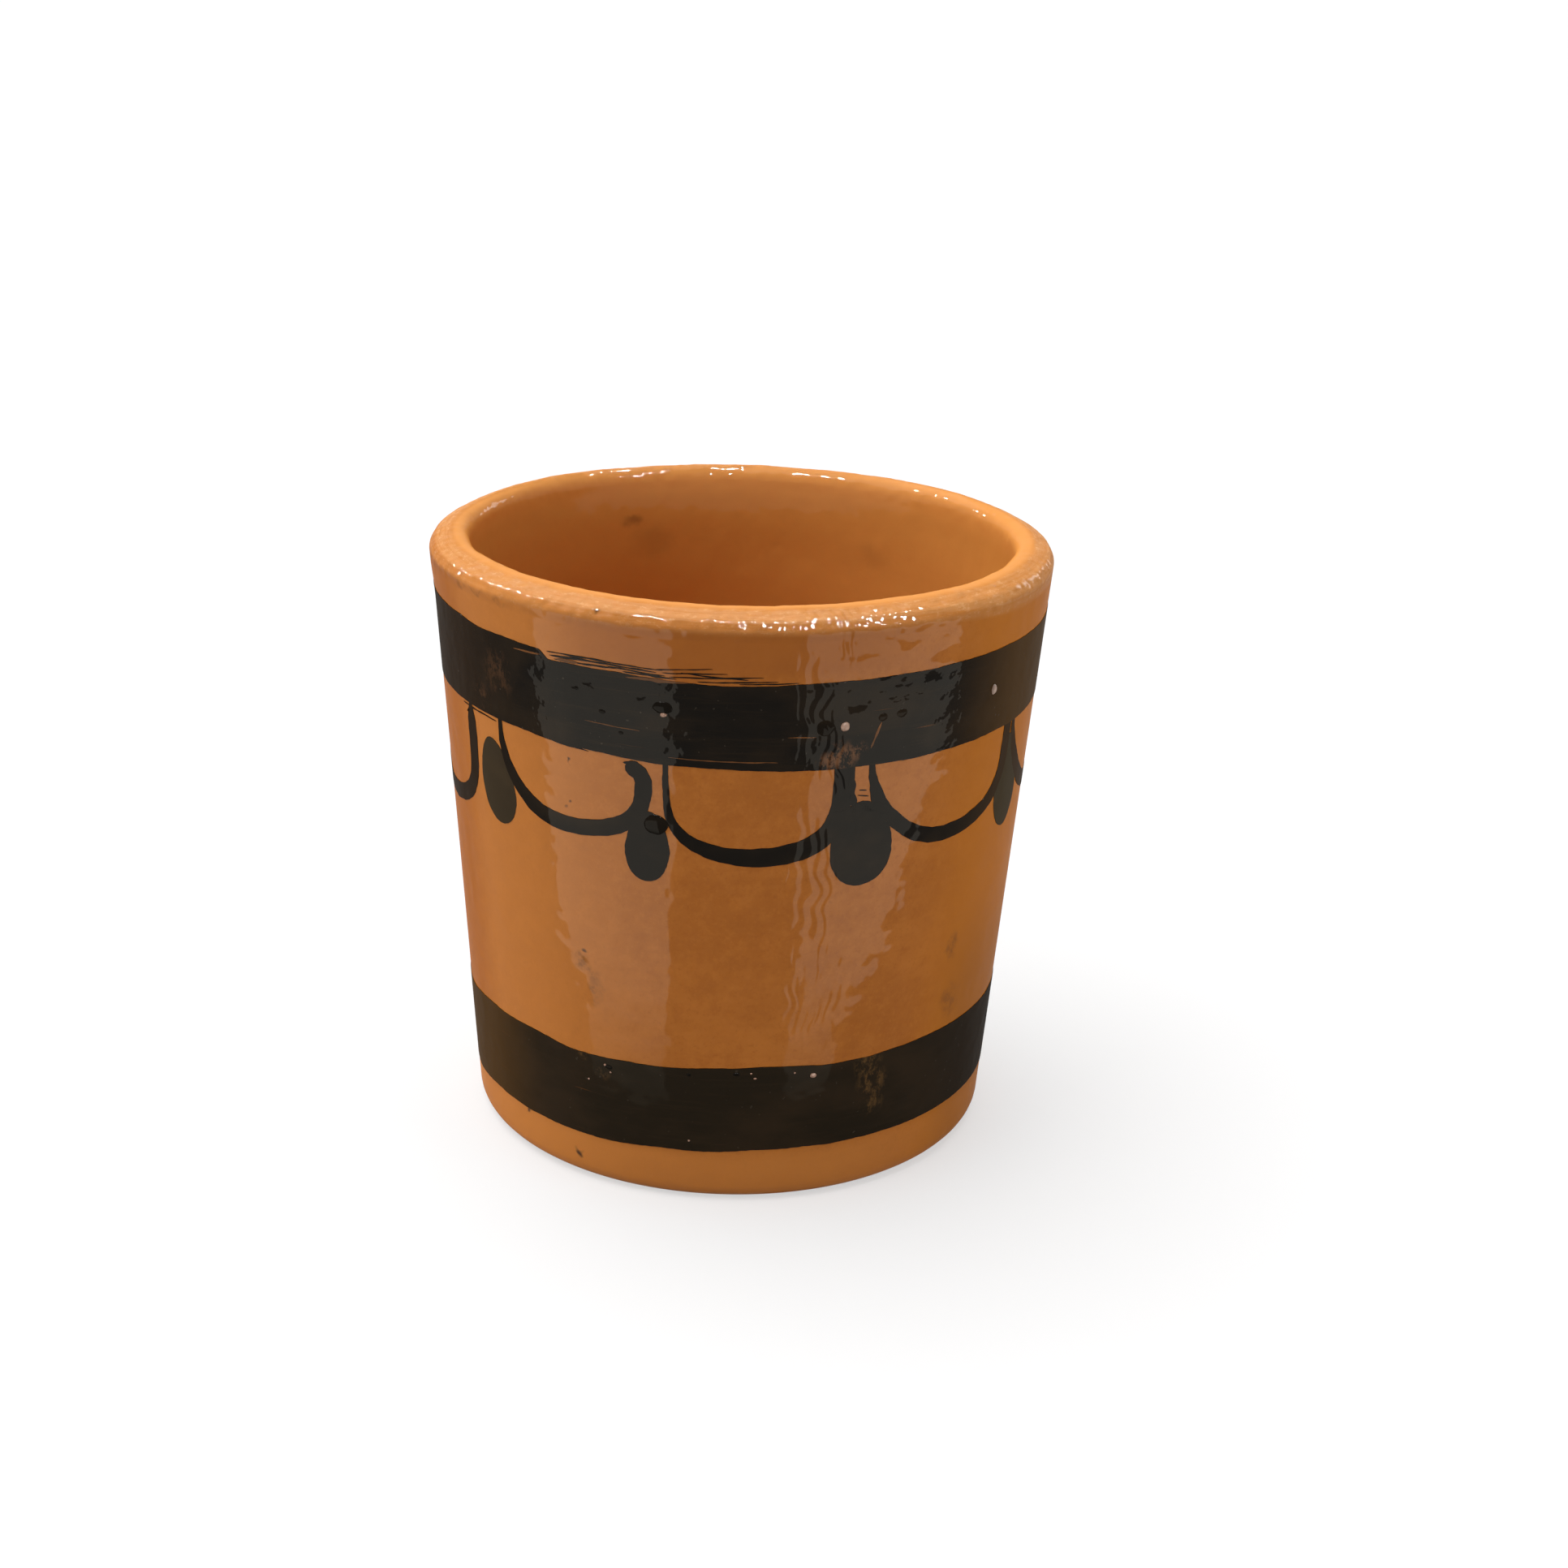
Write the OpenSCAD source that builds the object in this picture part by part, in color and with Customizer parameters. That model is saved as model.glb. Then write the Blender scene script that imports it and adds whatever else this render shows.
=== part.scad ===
// Wheel-thrown earthenware coffee cup without a handle: a tapered clay body with a thick
// rounded lip, two brushed bands, and a row of hanging scallops with a drop at each meeting
// of two scallops. Millimetres, +Z up, origin at the centre of the foot, front facing -Y.

/* [Body] */
// Outer diameter at the lip, where the wall line meets the full height
rim_d = 90.2; // [80:0.1:100]
// Outer diameter at the foot, before the heel is rounded
base_d = 77; // [68:1:86]
// Height from the foot to the inner edge of the lip, before it is rounded
height = 88.6; // [80:0.1:110]
// Wall thickness at the lip
wall_rim = 5.3; // [4.2:0.1:7]
// Wall thickness at the inner floor
wall_foot = 6; // [4.5:0.1:8]
// Thickness of the floor above the table
floor_t = 6.5; // [5:0.1:10]
// How far the top of the lip falls from its inner edge to its outer edge
lip_fall = 0.6; // [0:0.1:1.5]
// Rounding of the lip on the outside
lip_outer_r = 1.7; // [1:0.1:3.4]
// Rounding of the lip on the inside
lip_inner_r = 1.3; // [0.8:0.1:2]
// Rounding of the heel, where the wall meets the foot
heel_r = 2.6; // [1:0.1:5]
// Rounding between the inner wall and the inner floor
well_r = 7; // [3:0.5:14]
// Width of the flat ring that the cup stands on
foot_w = 9; // [6:0.5:16]
// Depth of the hollow turned under the foot
hollow_depth = 1; // [0.5:0.1:2]
// Rounding at the edge of the hollow
hollow_r = 4; // [2:0.5:8]

/* [Painted bands] */
// Thickness of the slip paint on the wall
paint_t = 0.15; // [0.1:0.01:0.4]
// Distance from the inner edge of the lip down to the upper band
upper_band_drop = 9; // [5:0.1:12]
// Height of the upper band
upper_band_w = 12.4; // [8:0.1:16]
// Distance from the table up to the lower band
lower_band_rise = 8; // [6:0.1:12]
// Height of the lower band
lower_band_w = 13.5; // [8:0.1:18]

/* [Scallops] */
// Number of scallops round the cup
scallop_count = 9; // [7:1:11]
// Angle of the first meeting of two scallops, from the front towards +X
first_meeting = -54; // [-90:1:90]
// Width of a full brush stroke
stroke_w = 2.6; // [1.6:0.1:3.4]
// Width of a stroke at its thin starting tip
tip_w = 0.8; // [0.5:0.1:1.4]
// Share of a stroke over which the brush opens to its full width
opening_share = 0.45; // [0.2:0.05:0.7]
// Fullness of a scallop: 1 is half an ellipse, lower is more like a U, higher more like a V
bow = 0.75; // [0.7:0.05:1.2]

/* [Drops] */
// Share by which a drop is wider towards its lower end
drop_egg = 0.16; // [0:0.02:0.3]

/* [Hidden] */
$fn = 180;

clay_colour = "#BC7236";
paint_colour = "#1C1613";

rim_r = rim_d / 2;
base_r = base_d / 2;
lower_band_top = lower_band_rise + lower_band_w;
upper_band_top = height - upper_band_drop;
upper_band_bottom = upper_band_top - upper_band_w;

// The two roundings of the lip share the wall, so a thin wall limits them
lip_flat = 0.2;
lip_share = min(1, (wall_rim - lip_flat) / (lip_outer_r + lip_inner_r));

// Hand-painted differences, one value for each scallop or drop, from the first meeting round.
// Angles are in shares of the pitch, and the other values are in millimetres or degrees.
meeting_wander = [0, 0, -0.125, -0.113, -0.1, -0.088, -0.075, -0.05, -0.013];
left_inset = [0.14, 0.036, 0.08, 0.02, 0.06, 0.05, 0.075, 0.045, 0.06];
right_inset = [0.06, 0.046, 0.038, 0.05, 0.065, 0.045, 0.055, 0.07, 0.12];
scallop_sag = [11.2, 12.9, 12.8, 12.8, 11.8, 13, 12.2, 12.6, 15];
left_bow_change = [0.25, -0.3, 0.4, 0.65, 0, 0.2, 0.1, 0.25, 0.05];
right_bow_change = [-0.3, -0.3, -0.25, -0.15, -0.05, -0.2, -0.1, -0.2, -0.38];
stroke_share = [0.93, 1.12, 0.88, 1, 0.95, 1.05, 1, 0.92, 0.98];
opening_change = [0, 0.2, 0, 0, 0.1, 0, 0.15, 0, 0];
end_short = [1.1, 0, 0, 0.4, 0, 1, 0, 0.3, 1.3];
end_hook = [1.5, 0, 0, 0, 1, 0, 0.6, 0, 0];
drop_shift = [0.083, -0.05, 0.063, 0.038, 0.03, -0.03, 0.05, 0, 0.025];
drop_below = [2.2, 7, 5.4, 1.6, 4, 5.5, 3, 4.5, 3.5];
drop_len = [12.6, 10.4, 12.6, 14.8, 12, 11.2, 12.8, 11.6, 13];
drop_w = [8, 6.3, 9.4, 8, 7.4, 6.8, 8.4, 7.2, 7.8];
drop_lean = [10, -3, 3, 9, -4, 2, 6, -2, 4];

// Points along a stroke, round a drop and round the blunt end of a stroke
stroke_steps = 26;
drop_steps = 30;
cap_steps = 5;
// How far past the band's edge a tip is drawn before the band trims it
tip_over = 1.2;
// Share of a stroke's length that the closing hook takes
hook_share = 0.11;

pitch = 360 / scallop_count;
// Radius at which lengths along the wall are turned into angles
arc_r = outer_r(upper_band_bottom);
// A prism through the wall starts well inside it and ends outside it
prism_from = base_r / 2;
prism_to = rim_r + 2;
// Hair gap between slip and clay, so that the two curved faces never cross
seat_gap = 0.005;

// Outer radius of the clay wall at a height
function outer_r(z) = base_r + (rim_r - base_r) * z / height;

// Value for the scallop or drop i, repeating where there are more of them than values
function pick(values, i) = values[i % len(values)];

function unit(v) = v / norm(v);
function turn(a, b) = a[0] * b[1] - a[1] * b[0];
function ease(x) = let(c = max(0, min(1, x))) c * c * (3 - 2 * c);

// Angle where scallops i - 1 and i meet
function meeting(i) = first_meeting + pitch * (i + pick(meeting_wander, i % scallop_count));

// Left and right angle of scallop i, and the angle of its middle
function scallop_left(i) = meeting(i) + pitch * pick(left_inset, i);
function next_meeting(i) = i + 1 < scallop_count ? meeting(i + 1) : meeting(0) + 360;
function scallop_right(i) = next_meeting(i) - pitch * pick(right_inset, i);
function scallop_middle(i) = (scallop_left(i) + scallop_right(i)) / 2;
function drop_middle(i) = meeting(i) + pitch * pick(drop_shift, i);
function previous(i) = (i + scallop_count - 1) % scallop_count;

function arc_length(angle) = angle * PI / 180 * arc_r;

// Centreline of scallop i at share s of its stroke: [along the wall, below the band]
function scallop_point(i, s) =
    let(
        half = arc_length(scallop_right(i) - scallop_left(i)) / 2,
        t = (1 - cos(180 * s)) / 2,
        fullness = bow + pick(t < 0.5 ? left_bow_change : right_bow_change, i),
        closing = ease((s - 1 + hook_share) / hook_share),
        along = -half * cos(180 * t) - pick(end_hook, i) * pow(closing, 3),
        hanging = pick(scallop_sag, i) * pow(sin(180 * t), fullness),
        below = norm([hanging, pick(end_short, i) * closing])
    )
    [along, -below];

// Width of scallop i's stroke at share s: a thin tip that opens to the full brush
function full_width(i) = stroke_w * pick(stroke_share, i);
function opening(i) = opening_share + pick(opening_change, i);
function stroke_width(i, s) = tip_w + (full_width(i) - tip_w) * ease(s / opening(i));

// Centreline with a straight lead-in above the band's edge at its tip
function scallop_line(i) = concat(
    [scallop_point(i, 0) + [0, tip_over]],
    [for (k = [0:stroke_steps]) scallop_point(i, k / stroke_steps)]
);
function line_widths(i) = concat(
    [tip_w],
    [for (k = [0:stroke_steps]) stroke_width(i, k / stroke_steps)]
);

// Unit normal to the left of a line of points at point k
function line_normal(line, k) =
    let(d = unit(line[min(k + 1, len(line) - 1)] - line[max(k - 1, 0)])) [-d[1], d[0]];

// One side of a stroke: side is 1 for the inner edge of the scallop and -1 for the outer edge
function stroke_side(line, widths, side) =
    [for (k = [0:len(line) - 1]) line[k] + line_normal(line, k) * side * widths[k] / 2];

// Round end of a stroke, from its outer edge to its inner edge
function stroke_cap(line, width) =
    let(last = len(line) - 1, n = line_normal(line, last), d = [n[1], -n[0]])
    [for (k = [1:cap_steps - 1])
        let(q = 180 * k / cap_steps) line[last] + width / 2 * (d * sin(q) - n * cos(q))];

// Turns [along the wall, below the band] into the flat outline of a prism through the wall
function on_wall(points) = [for (p = points)
    let(z = upper_band_bottom + p[1]) [outer_r(z) * sin(p[0] / arc_r * 180 / PI), z]];

// Outline of scallop i's stroke
module scallop_shape(i) {
    line = scallop_line(i);
    widths = line_widths(i);
    inner = stroke_side(line, widths, 1);
    polygon(on_wall(concat(
        stroke_side(line, widths, -1),
        stroke_cap(line, full_width(i)),
        [for (k = [len(inner) - 1:-1:0]) inner[k]]
    )));
}

// All that lies inside the outer edge of scallop i, up to the band
module scallop_reach(i) {
    line = scallop_line(i);
    polygon(on_wall(concat(
        stroke_side(line, line_widths(i), -1),
        stroke_cap(line, full_width(i))
    )));
}

// Egg-shaped drop i, hanging below the band and leaning a little
module drop_shape(i) {
    length = pick(drop_len, i);
    width = pick(drop_w, i);
    lean = pick(drop_lean, i);
    centre = [0, -pick(drop_below, i) - length / 2];
    polygon(on_wall([for (k = [0:drop_steps - 1])
        let(
            q = 360 * k / drop_steps,
            x = width / 2 * sin(q) * (1 - drop_egg * cos(q)),
            y = length / 2 * cos(q)
        )
        centre + [x * cos(lean) - y * sin(lean), x * sin(lean) + y * cos(lean)]]));
}

// Carries a flat outline through the wall at an angle from the front
module through_wall(angle)
    rotate([0, 0, angle]) rotate([90, 0, 0]) translate([0, 0, prism_from])
        linear_extrude(height = prism_to - prism_from) children();

// Thin skin of paint on the outside of the wall, between two heights
module wall_skin(from, to)
    rotate_extrude() polygon([
        [outer_r(from) + seat_gap, from],
        [outer_r(from) + paint_t, from],
        [outer_r(to) + paint_t, to],
        [outer_r(to) + seat_gap, to]
    ]);

// Flat outline whose corners are [x, y, rounding], anticlockwise
module rounded_outline(corners) {
    n = len(corners);
    point = [for (c = corners) [c[0], c[1]]];
    before = [for (i = [0:n - 1]) unit(point[(i + n - 1) % n] - point[i])];
    after = [for (i = [0:n - 1]) unit(point[(i + 1) % n] - point[i])];
    half_angle = [for (i = [0:n - 1]) acos(before[i] * after[i]) / 2];
    reach = [for (i = [0:n - 1]) corners[i][2] / tan(half_angle[i])];
    centre = [for (i = [0:n - 1])
        point[i] + unit(before[i] + after[i]) * corners[i][2] / sin(half_angle[i])];
    convex = [for (i = [0:n - 1]) turn(after[i], before[i]) > 0];
    rounded = [for (i = [0:n - 1]) if (corners[i][2] > 0) i];
    difference() {
        union() {
            polygon([for (i = [0:n - 1]) each corners[i][2] > 0
                ? [point[i] + before[i] * reach[i], point[i] + after[i] * reach[i]]
                : [point[i]]]);
            for (i = rounded) if (convex[i]) translate(centre[i]) circle(corners[i][2]);
        }
        for (i = rounded) if (!convex[i]) translate(centre[i]) circle(corners[i][2]);
    }
}

// Wall, floor, lip and foot, thrown and turned as one piece of clay
module clay_body() {
    foot_in = base_r - heel_r - foot_w;
    color(clay_colour) rotate_extrude() rounded_outline([
        [0, hollow_depth, 0],
        [foot_in - hollow_r, hollow_depth, hollow_r],
        [foot_in, 0, 0],
        [base_r, 0, heel_r],
        [outer_r(height - lip_fall), height - lip_fall, lip_outer_r * lip_share],
        [rim_r - wall_rim, height, lip_inner_r * lip_share],
        [outer_r(floor_t) - wall_foot, floor_t, well_r],
        [0, floor_t, 0]
    ]);
}

module upper_band() color(paint_colour) wall_skin(upper_band_bottom, upper_band_top);

module lower_band() color(paint_colour) wall_skin(lower_band_rise, lower_band_top);

// Scallop stroke i, trimmed where it runs up to the band or into the scallop before it
module scallop(i)
    color(paint_colour) intersection() {
        wall_skin(lower_band_top, upper_band_bottom);
        difference() {
            through_wall(scallop_middle(i)) scallop_shape(i);
            through_wall(scallop_middle(previous(i))) scallop_reach(previous(i));
        }
    }

// Drop i, tucked under the scallops on either side of it
module drop(i)
    color(paint_colour) intersection() {
        wall_skin(lower_band_top, upper_band_bottom);
        difference() {
            through_wall(drop_middle(i)) drop_shape(i);
            for (j = [previous(i), i]) through_wall(scallop_middle(j)) scallop_reach(j);
        }
    }

clay_body();
upper_band();
lower_band();
for (i = [0:scallop_count - 1]) {
    scallop(i);
    drop(i);
}
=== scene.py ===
"""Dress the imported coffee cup: thrown clay, brushed slip and a clear glaze.

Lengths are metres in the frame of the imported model: the foot stands on z = 0 and the painted front
faces -Y. Angles round the cup start at the front and grow towards +X.
"""

import logging
import math
from dataclasses import dataclass, field
from enum import Enum
from typing import Callable, Optional, Sequence, Union

import bmesh
import bpy
from bmesh.types import BMesh
from bpy.types import Light, Material, Node, NodeSocket, NodeTree, Object
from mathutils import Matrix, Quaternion, Vector, noise


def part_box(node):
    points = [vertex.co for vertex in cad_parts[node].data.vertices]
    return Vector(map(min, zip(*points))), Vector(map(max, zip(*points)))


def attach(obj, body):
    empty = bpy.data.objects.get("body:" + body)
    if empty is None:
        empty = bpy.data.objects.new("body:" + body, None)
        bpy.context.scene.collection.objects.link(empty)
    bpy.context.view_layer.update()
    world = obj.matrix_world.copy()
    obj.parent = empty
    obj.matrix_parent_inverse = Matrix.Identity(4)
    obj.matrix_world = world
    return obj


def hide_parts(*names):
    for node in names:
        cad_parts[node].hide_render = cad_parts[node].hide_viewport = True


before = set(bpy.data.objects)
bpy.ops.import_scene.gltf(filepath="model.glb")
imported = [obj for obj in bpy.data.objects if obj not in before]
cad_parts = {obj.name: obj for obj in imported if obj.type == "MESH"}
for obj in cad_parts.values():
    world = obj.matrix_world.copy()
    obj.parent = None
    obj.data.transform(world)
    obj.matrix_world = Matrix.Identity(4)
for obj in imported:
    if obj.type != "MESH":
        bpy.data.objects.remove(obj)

Colour = tuple[float, float, float, float]
Span = tuple[float, float]
Feed = Union[float, tuple, Vector, NodeSocket]

LOG = logging.getLogger("coffee_cup")
MM = 0.001
ZERO = (0.0, 0.0, 0.0)
# The outer wall as a plain cone, for the materials.
CONE_FOOT = 38.5 * MM
CONE_SLOPE = 0.0745
# Radii that turn an angle round the wall into a length.
WHEEL_RADIUS = 43.0 * MM
PAINT_RADIUS = 42.5 * MM
# Millimetres along the wall for each degree round the cup.
MM_PER_DEGREE = 0.76
# How far the slip reaches into the clay, so that no gap shows below it.
SUNK = 0.05 * MM


class Slot(Enum):
    """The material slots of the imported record."""

    CLAY = "clay"
    SLIP = "slip"


class Pick(Enum):
    """What an edit-mode selection is made of."""

    VERTICES = "VERT"
    EDGES = "EDGE"
    FACES = "FACE"


class Paint(Enum):
    """The paints of the decoration, by the names of their materials."""

    UPPER = "upper_slip"
    LOWER = "lower_slip"
    STROKE = "stroke_slip"
    WATERY = "watery_slip"
    BEAD = "bead_slip"
    GRAIN = "pale_grain"
    VEIL = "veiled_clay"


def ease(share: float) -> float:
    """Run smoothly from 0 to 1 as share does."""
    held = min(max(share, 0.0), 1.0)
    return held * held * (3.0 - 2.0 * held)


def angle_of(place: Vector) -> float:
    """Give the angle of a place round the cup, from the front towards +X."""
    return math.atan2(place.x, -place.y)


def around(angle: float, radius: float, z: float) -> Vector:
    """Give the place at an angle, a distance from the axis and a height."""
    return Vector((radius * math.sin(angle), -radius * math.cos(angle), z))


def ripple(angle: float, waves: float, seed: float) -> float:
    """Give smooth noise that closes round the cup.

    Args:
        angle: Angle round the cup.
        waves: About how many bumps one turn has.
        seed: Which of many such curves is read.

    Returns:
        A value of about -1 to 1.
    """
    reach = waves / 6.28
    place = Vector((reach * math.cos(angle), reach * math.sin(angle), seed))
    return noise.noise(place) * 1.6


@dataclass(frozen=True)
class Wall:
    """The turned outer wall that carries the slip.

    Attributes:
        foot_radius: Radius of the wall where it meets the table.
        slope: Gain in radius for each metre of height.
        height: Height of the cup.
        slip: Thickness of the slip on the wall.
        oval: How far the wall is out of round in two waves.
        three_sided: How far it is out of round in three waves.
        swell: Height of the small swells that the hands left.
        lip_swell: How far the lip stands out.
        lip_from: Height where the lip starts to stand out.
        lip_over: Height over which it does so.
    """

    foot_radius: float
    slope: float
    height: float
    slip: float = 0.15 * MM
    oval: float = 0.1 * MM
    three_sided: float = 0.06 * MM
    swell: float = 0.05 * MM
    lip_swell: float = 0.3 * MM
    lip_from: float = 79.0 * MM
    lip_over: float = 6.0 * MM

    @classmethod
    def from_frame(cls) -> "Wall":
        """Read the taper from the two packed bands.

        Returns:
            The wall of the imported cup.
        """
        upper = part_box("upper_band")[1]
        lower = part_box("lower_band")[1]
        slope = (upper.x - lower.x) / (upper.z - lower.z)
        return cls(upper.x - slope * upper.z - cls.slip, slope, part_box("clay_body")[1].z)

    def true_radius(self, z: float) -> float:
        """Give the radius of the true cone at a height."""
        return self.foot_radius + self.slope * z

    def wobble(self, angle: float, z: float) -> float:
        """Give how far the hand-thrown wall stands off a true cone.

        Args:
            angle: Angle round the cup.
            z: Height above the table.

        Returns:
            The offset along the radius.
        """
        rise = 0.25 + 0.75 * ease(z / self.height)
        oval = self.oval * math.sin(2.0 * angle + 0.7)
        three_sided = self.three_sided * math.sin(3.0 * angle + 2.1)
        swell = self.swell * ripple(angle, 9.0, 3.0 + z * 30.0)
        lip = self.lip_swell * ease((z - self.lip_from) / self.lip_over)
        return (oval + three_sided + swell) * rise + lip * (0.6 - 0.4 * math.sin(angle))

    def radius(self, angle: float, z: float) -> float:
        """Give the radius of the clay at an angle and a height."""
        return self.true_radius(z) + self.wobble(angle, z)

    def on_skin(self, angle: float, z: float, proud: float) -> Vector:
        """Give the place that stands proud of the clay by a distance."""
        return around(angle, self.radius(angle, z) + proud, z)

    def normal(self, place: Vector) -> Vector:
        """Give the outward normal of the clay below a place.

        Args:
            place: Place on the wall or close to it.

        Returns:
            The unit normal.
        """
        angle = angle_of(place)
        near = 0.2 * MM
        turn = near / place.xy.length
        along = self.on_skin(angle + turn, place.z, 0.0) - self.on_skin(angle - turn, place.z, 0.0)
        up = self.on_skin(angle, place.z + near, 0.0) - self.on_skin(angle, place.z - near, 0.0)
        return along.cross(up).normalized()


class Bench:
    """One mesh on the modelling bench, with its faces and edges picked by place."""

    def __init__(self, piece: Object) -> None:
        """Put a piece on the bench."""
        self.piece = piece

    @classmethod
    def cylinder(cls, name: str, radius: float, low: float, high: float, columns: int,
                 capped: bool) -> "Bench":
        """Add a cylinder that stands on the axis of the cup.

        Args:
            name: Name of the piece.
            radius: Radius of the cylinder.
            low: Height of its lower end.
            high: Height of its upper end.
            columns: Number of faces round it.
            capped: Whether its ends are closed.

        Returns:
            The bench with the new piece, its place already in its mesh.
        """
        bpy.ops.object.select_all(action="DESELECT")
        bpy.ops.mesh.primitive_cylinder_add(
            vertices=columns,
            radius=radius,
            depth=high - low,
            end_fill_type="NGON" if capped else "NOTHING",
            location=(0.0, 0.0, (low + high) / 2.0),
        )
        return cls._added(name)

    @classmethod
    def strip(cls, name: str, columns: int, rows: int) -> "Bench":
        """Add a flat grid two metres wide, to be wrapped onto the wall.

        Args:
            name: Name of the piece.
            columns: Number of faces along it.
            rows: Number of faces across it.

        Returns:
            The bench with the new piece.
        """
        bpy.ops.object.select_all(action="DESELECT")
        bpy.ops.mesh.primitive_grid_add(x_subdivisions=columns, y_subdivisions=rows, size=2.0)
        return cls._added(name)

    @classmethod
    def ball(cls, name: str) -> "Bench":
        """Add a round blob one metre in radius, to be pressed into a bead.

        Args:
            name: Name of the piece.

        Returns:
            The bench with the new piece.
        """
        bpy.ops.object.select_all(action="DESELECT")
        bpy.ops.mesh.primitive_ico_sphere_add(subdivisions=3, radius=1.0)
        return cls._added(name)

    @classmethod
    def copy_of(cls, node: str, name: str) -> "Bench":
        """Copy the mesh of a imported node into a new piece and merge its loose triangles.

        Args:
            node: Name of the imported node.
            name: Name of the new piece.

        Returns:
            The bench with the copy, open for editing.
        """
        bench = cls(bpy.data.objects.new(name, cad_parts[node].data.copy()))
        bench.rename(name)
        bench.piece.data.materials.clear()
        bpy.context.scene.collection.objects.link(bench.piece)
        bench.pick_alone()
        bench.open(Pick.FACES)
        bpy.ops.mesh.select_all(action="SELECT")
        bpy.ops.mesh.remove_doubles(threshold=0.001 * MM)
        return bench

    @classmethod
    def gather(cls, name: str, benches: Sequence["Bench"]) -> "Bench":
        """Join pieces into one with a name of its own.

        Args:
            name: Name of the joined piece.
            benches: Benches with the pieces.

        Returns:
            The bench with the joined piece.
        """
        first = benches[0]
        first.join(benches[1:])
        first.rename(name)
        return first

    @classmethod
    def _added(cls, name: str) -> "Bench":
        """Name the new primitive and put its place into its mesh.

        Args:
            name: Name of the piece.

        Returns:
            The bench with the new piece.
        """
        bench = cls(bpy.context.active_object)
        bench.rename(name)
        bpy.ops.object.transform_apply(location=True, rotation=True, scale=True)
        return bench

    def rename(self, name: str) -> None:
        """Name the piece and its mesh."""
        self.piece.name = name
        self.piece.data.name = name

    def pick_alone(self) -> None:
        """Select this piece and no other."""
        bpy.ops.object.select_all(action="DESELECT")
        self.piece.select_set(True)
        bpy.context.view_layer.objects.active = self.piece

    def open(self, pick: Pick) -> BMesh:
        """Open the mesh for editing with nothing selected.

        Args:
            pick: What is going to be selected.

        Returns:
            The mesh in edit mode.
        """
        bpy.context.view_layer.objects.active = self.piece
        if self.piece.mode != "EDIT":
            bpy.ops.object.mode_set(mode="EDIT")
        bpy.ops.mesh.select_mode(type=pick.value)
        bpy.ops.mesh.select_all(action="DESELECT")
        return bmesh.from_edit_mesh(self.piece.data)

    def close(self) -> None:
        """Leave edit mode."""
        bpy.ops.object.mode_set(mode="OBJECT")

    def faces(self, test: Callable[[Vector, Vector], bool]) -> None:
        """Select the faces whose centre and normal pass a test.

        Args:
            test: Test on the centre and the normal of a face.
        """
        mesh = self.open(Pick.FACES)
        for face in mesh.faces:
            face.select_set(test(face.calc_center_median(), face.normal))
        self._flush(mesh)

    def edges(self, test: Callable[[Vector, Vector], bool]) -> None:
        """Select the edges whose two ends pass a test.

        Args:
            test: Test on the two ends of an edge.
        """
        mesh = self.open(Pick.EDGES)
        for edge in mesh.edges:
            edge.select_set(test(edge.verts[0].co, edge.verts[1].co))
        self._flush(mesh)

    def _flush(self, mesh: BMesh) -> None:
        """Hand a selection made in code to the operators."""
        mesh.select_flush_mode()
        bmesh.update_edit_mesh(self.piece.data)

    def round_ring(self, radius: float, z: float, offset: float, steps: int) -> None:
        """Round the corner along a ring of edges.

        Args:
            radius: Radius of the ring.
            z: Height of the ring.
            offset: Distance from the corner to where the rounding starts.
            steps: Number of faces across the rounding.
        """
        near = 0.02 * MM
        self.edges(lambda a, b: all(
            abs(end.z - z) < near and abs(end.xy.length - radius) < near for end in (a, b)
        ))
        bpy.ops.mesh.bevel(offset=offset, offset_type="OFFSET", segments=steps, affect="EDGES")

    def cut_rows(self, low: float, high: float, cuts: int, inside: Optional[float] = None) -> None:
        """Cut the long upright edges of a wall into rows.

        Args:
            low: Least height that a long edge covers.
            high: Greatest height that a long edge covers.
            cuts: Number of cuts.
            inside: Radius that parts the inner wall from the outer one, or None for any wall.
        """
        def long_edge(a: Vector, b: Vector) -> bool:
            """Tell whether an edge runs from low to high on the wanted wall.

            Args:
                a: One end of the edge.
                b: Its other end.

            Returns:
                Whether it does.
            """
            if min(a.z, b.z) > low or max(a.z, b.z) < high:
                return False
            return inside is None or (a.xy.length + b.xy.length) / 2.0 < inside

        self.edges(long_edge)
        bpy.ops.mesh.subdivide(number_cuts=cuts)

    def slice(self, place: Sequence[float], normal: Sequence[float]) -> None:
        """Cut the whole mesh along a plane and keep both sides."""
        bpy.ops.mesh.select_all(action="SELECT")
        bpy.ops.mesh.bisect(plane_co=place, plane_no=normal, threshold=0.001 * MM)

    def clean(self) -> None:
        """Merge doubled points, turn the faces outwards and leave edit mode."""
        self.open(Pick.VERTICES)
        bpy.ops.mesh.select_all(action="SELECT")
        bpy.ops.mesh.remove_doubles(threshold=0.002 * MM)
        bpy.ops.mesh.normals_make_consistent(inside=False)
        self.close()

    def move(self, rule: Callable[[Vector], Vector]) -> None:
        """Move every point of the closed mesh by a rule, as a sculptor would.

        Args:
            rule: Gives a point its new place.
        """
        for point in self.piece.data.vertices:
            point.co = rule(point.co.copy())
        self.piece.data.update()

    def thicken(self, depth: float) -> None:
        """Give a skin its thickness, inwards from the side that shows.

        Args:
            depth: Thickness of the skin.
        """
        wall = self.piece.modifiers.new("thickness", "SOLIDIFY")
        wall.thickness = depth
        wall.offset = -1.0
        wall.use_rim = True
        bpy.context.view_layer.objects.active = self.piece
        bpy.ops.object.modifier_apply(modifier=wall.name)

    def smooth(self, degrees: float) -> None:
        """Shade the piece smoothly up to an edge angle."""
        self.pick_alone()
        bpy.ops.object.shade_smooth_by_angle(angle=math.radians(degrees))

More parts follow.
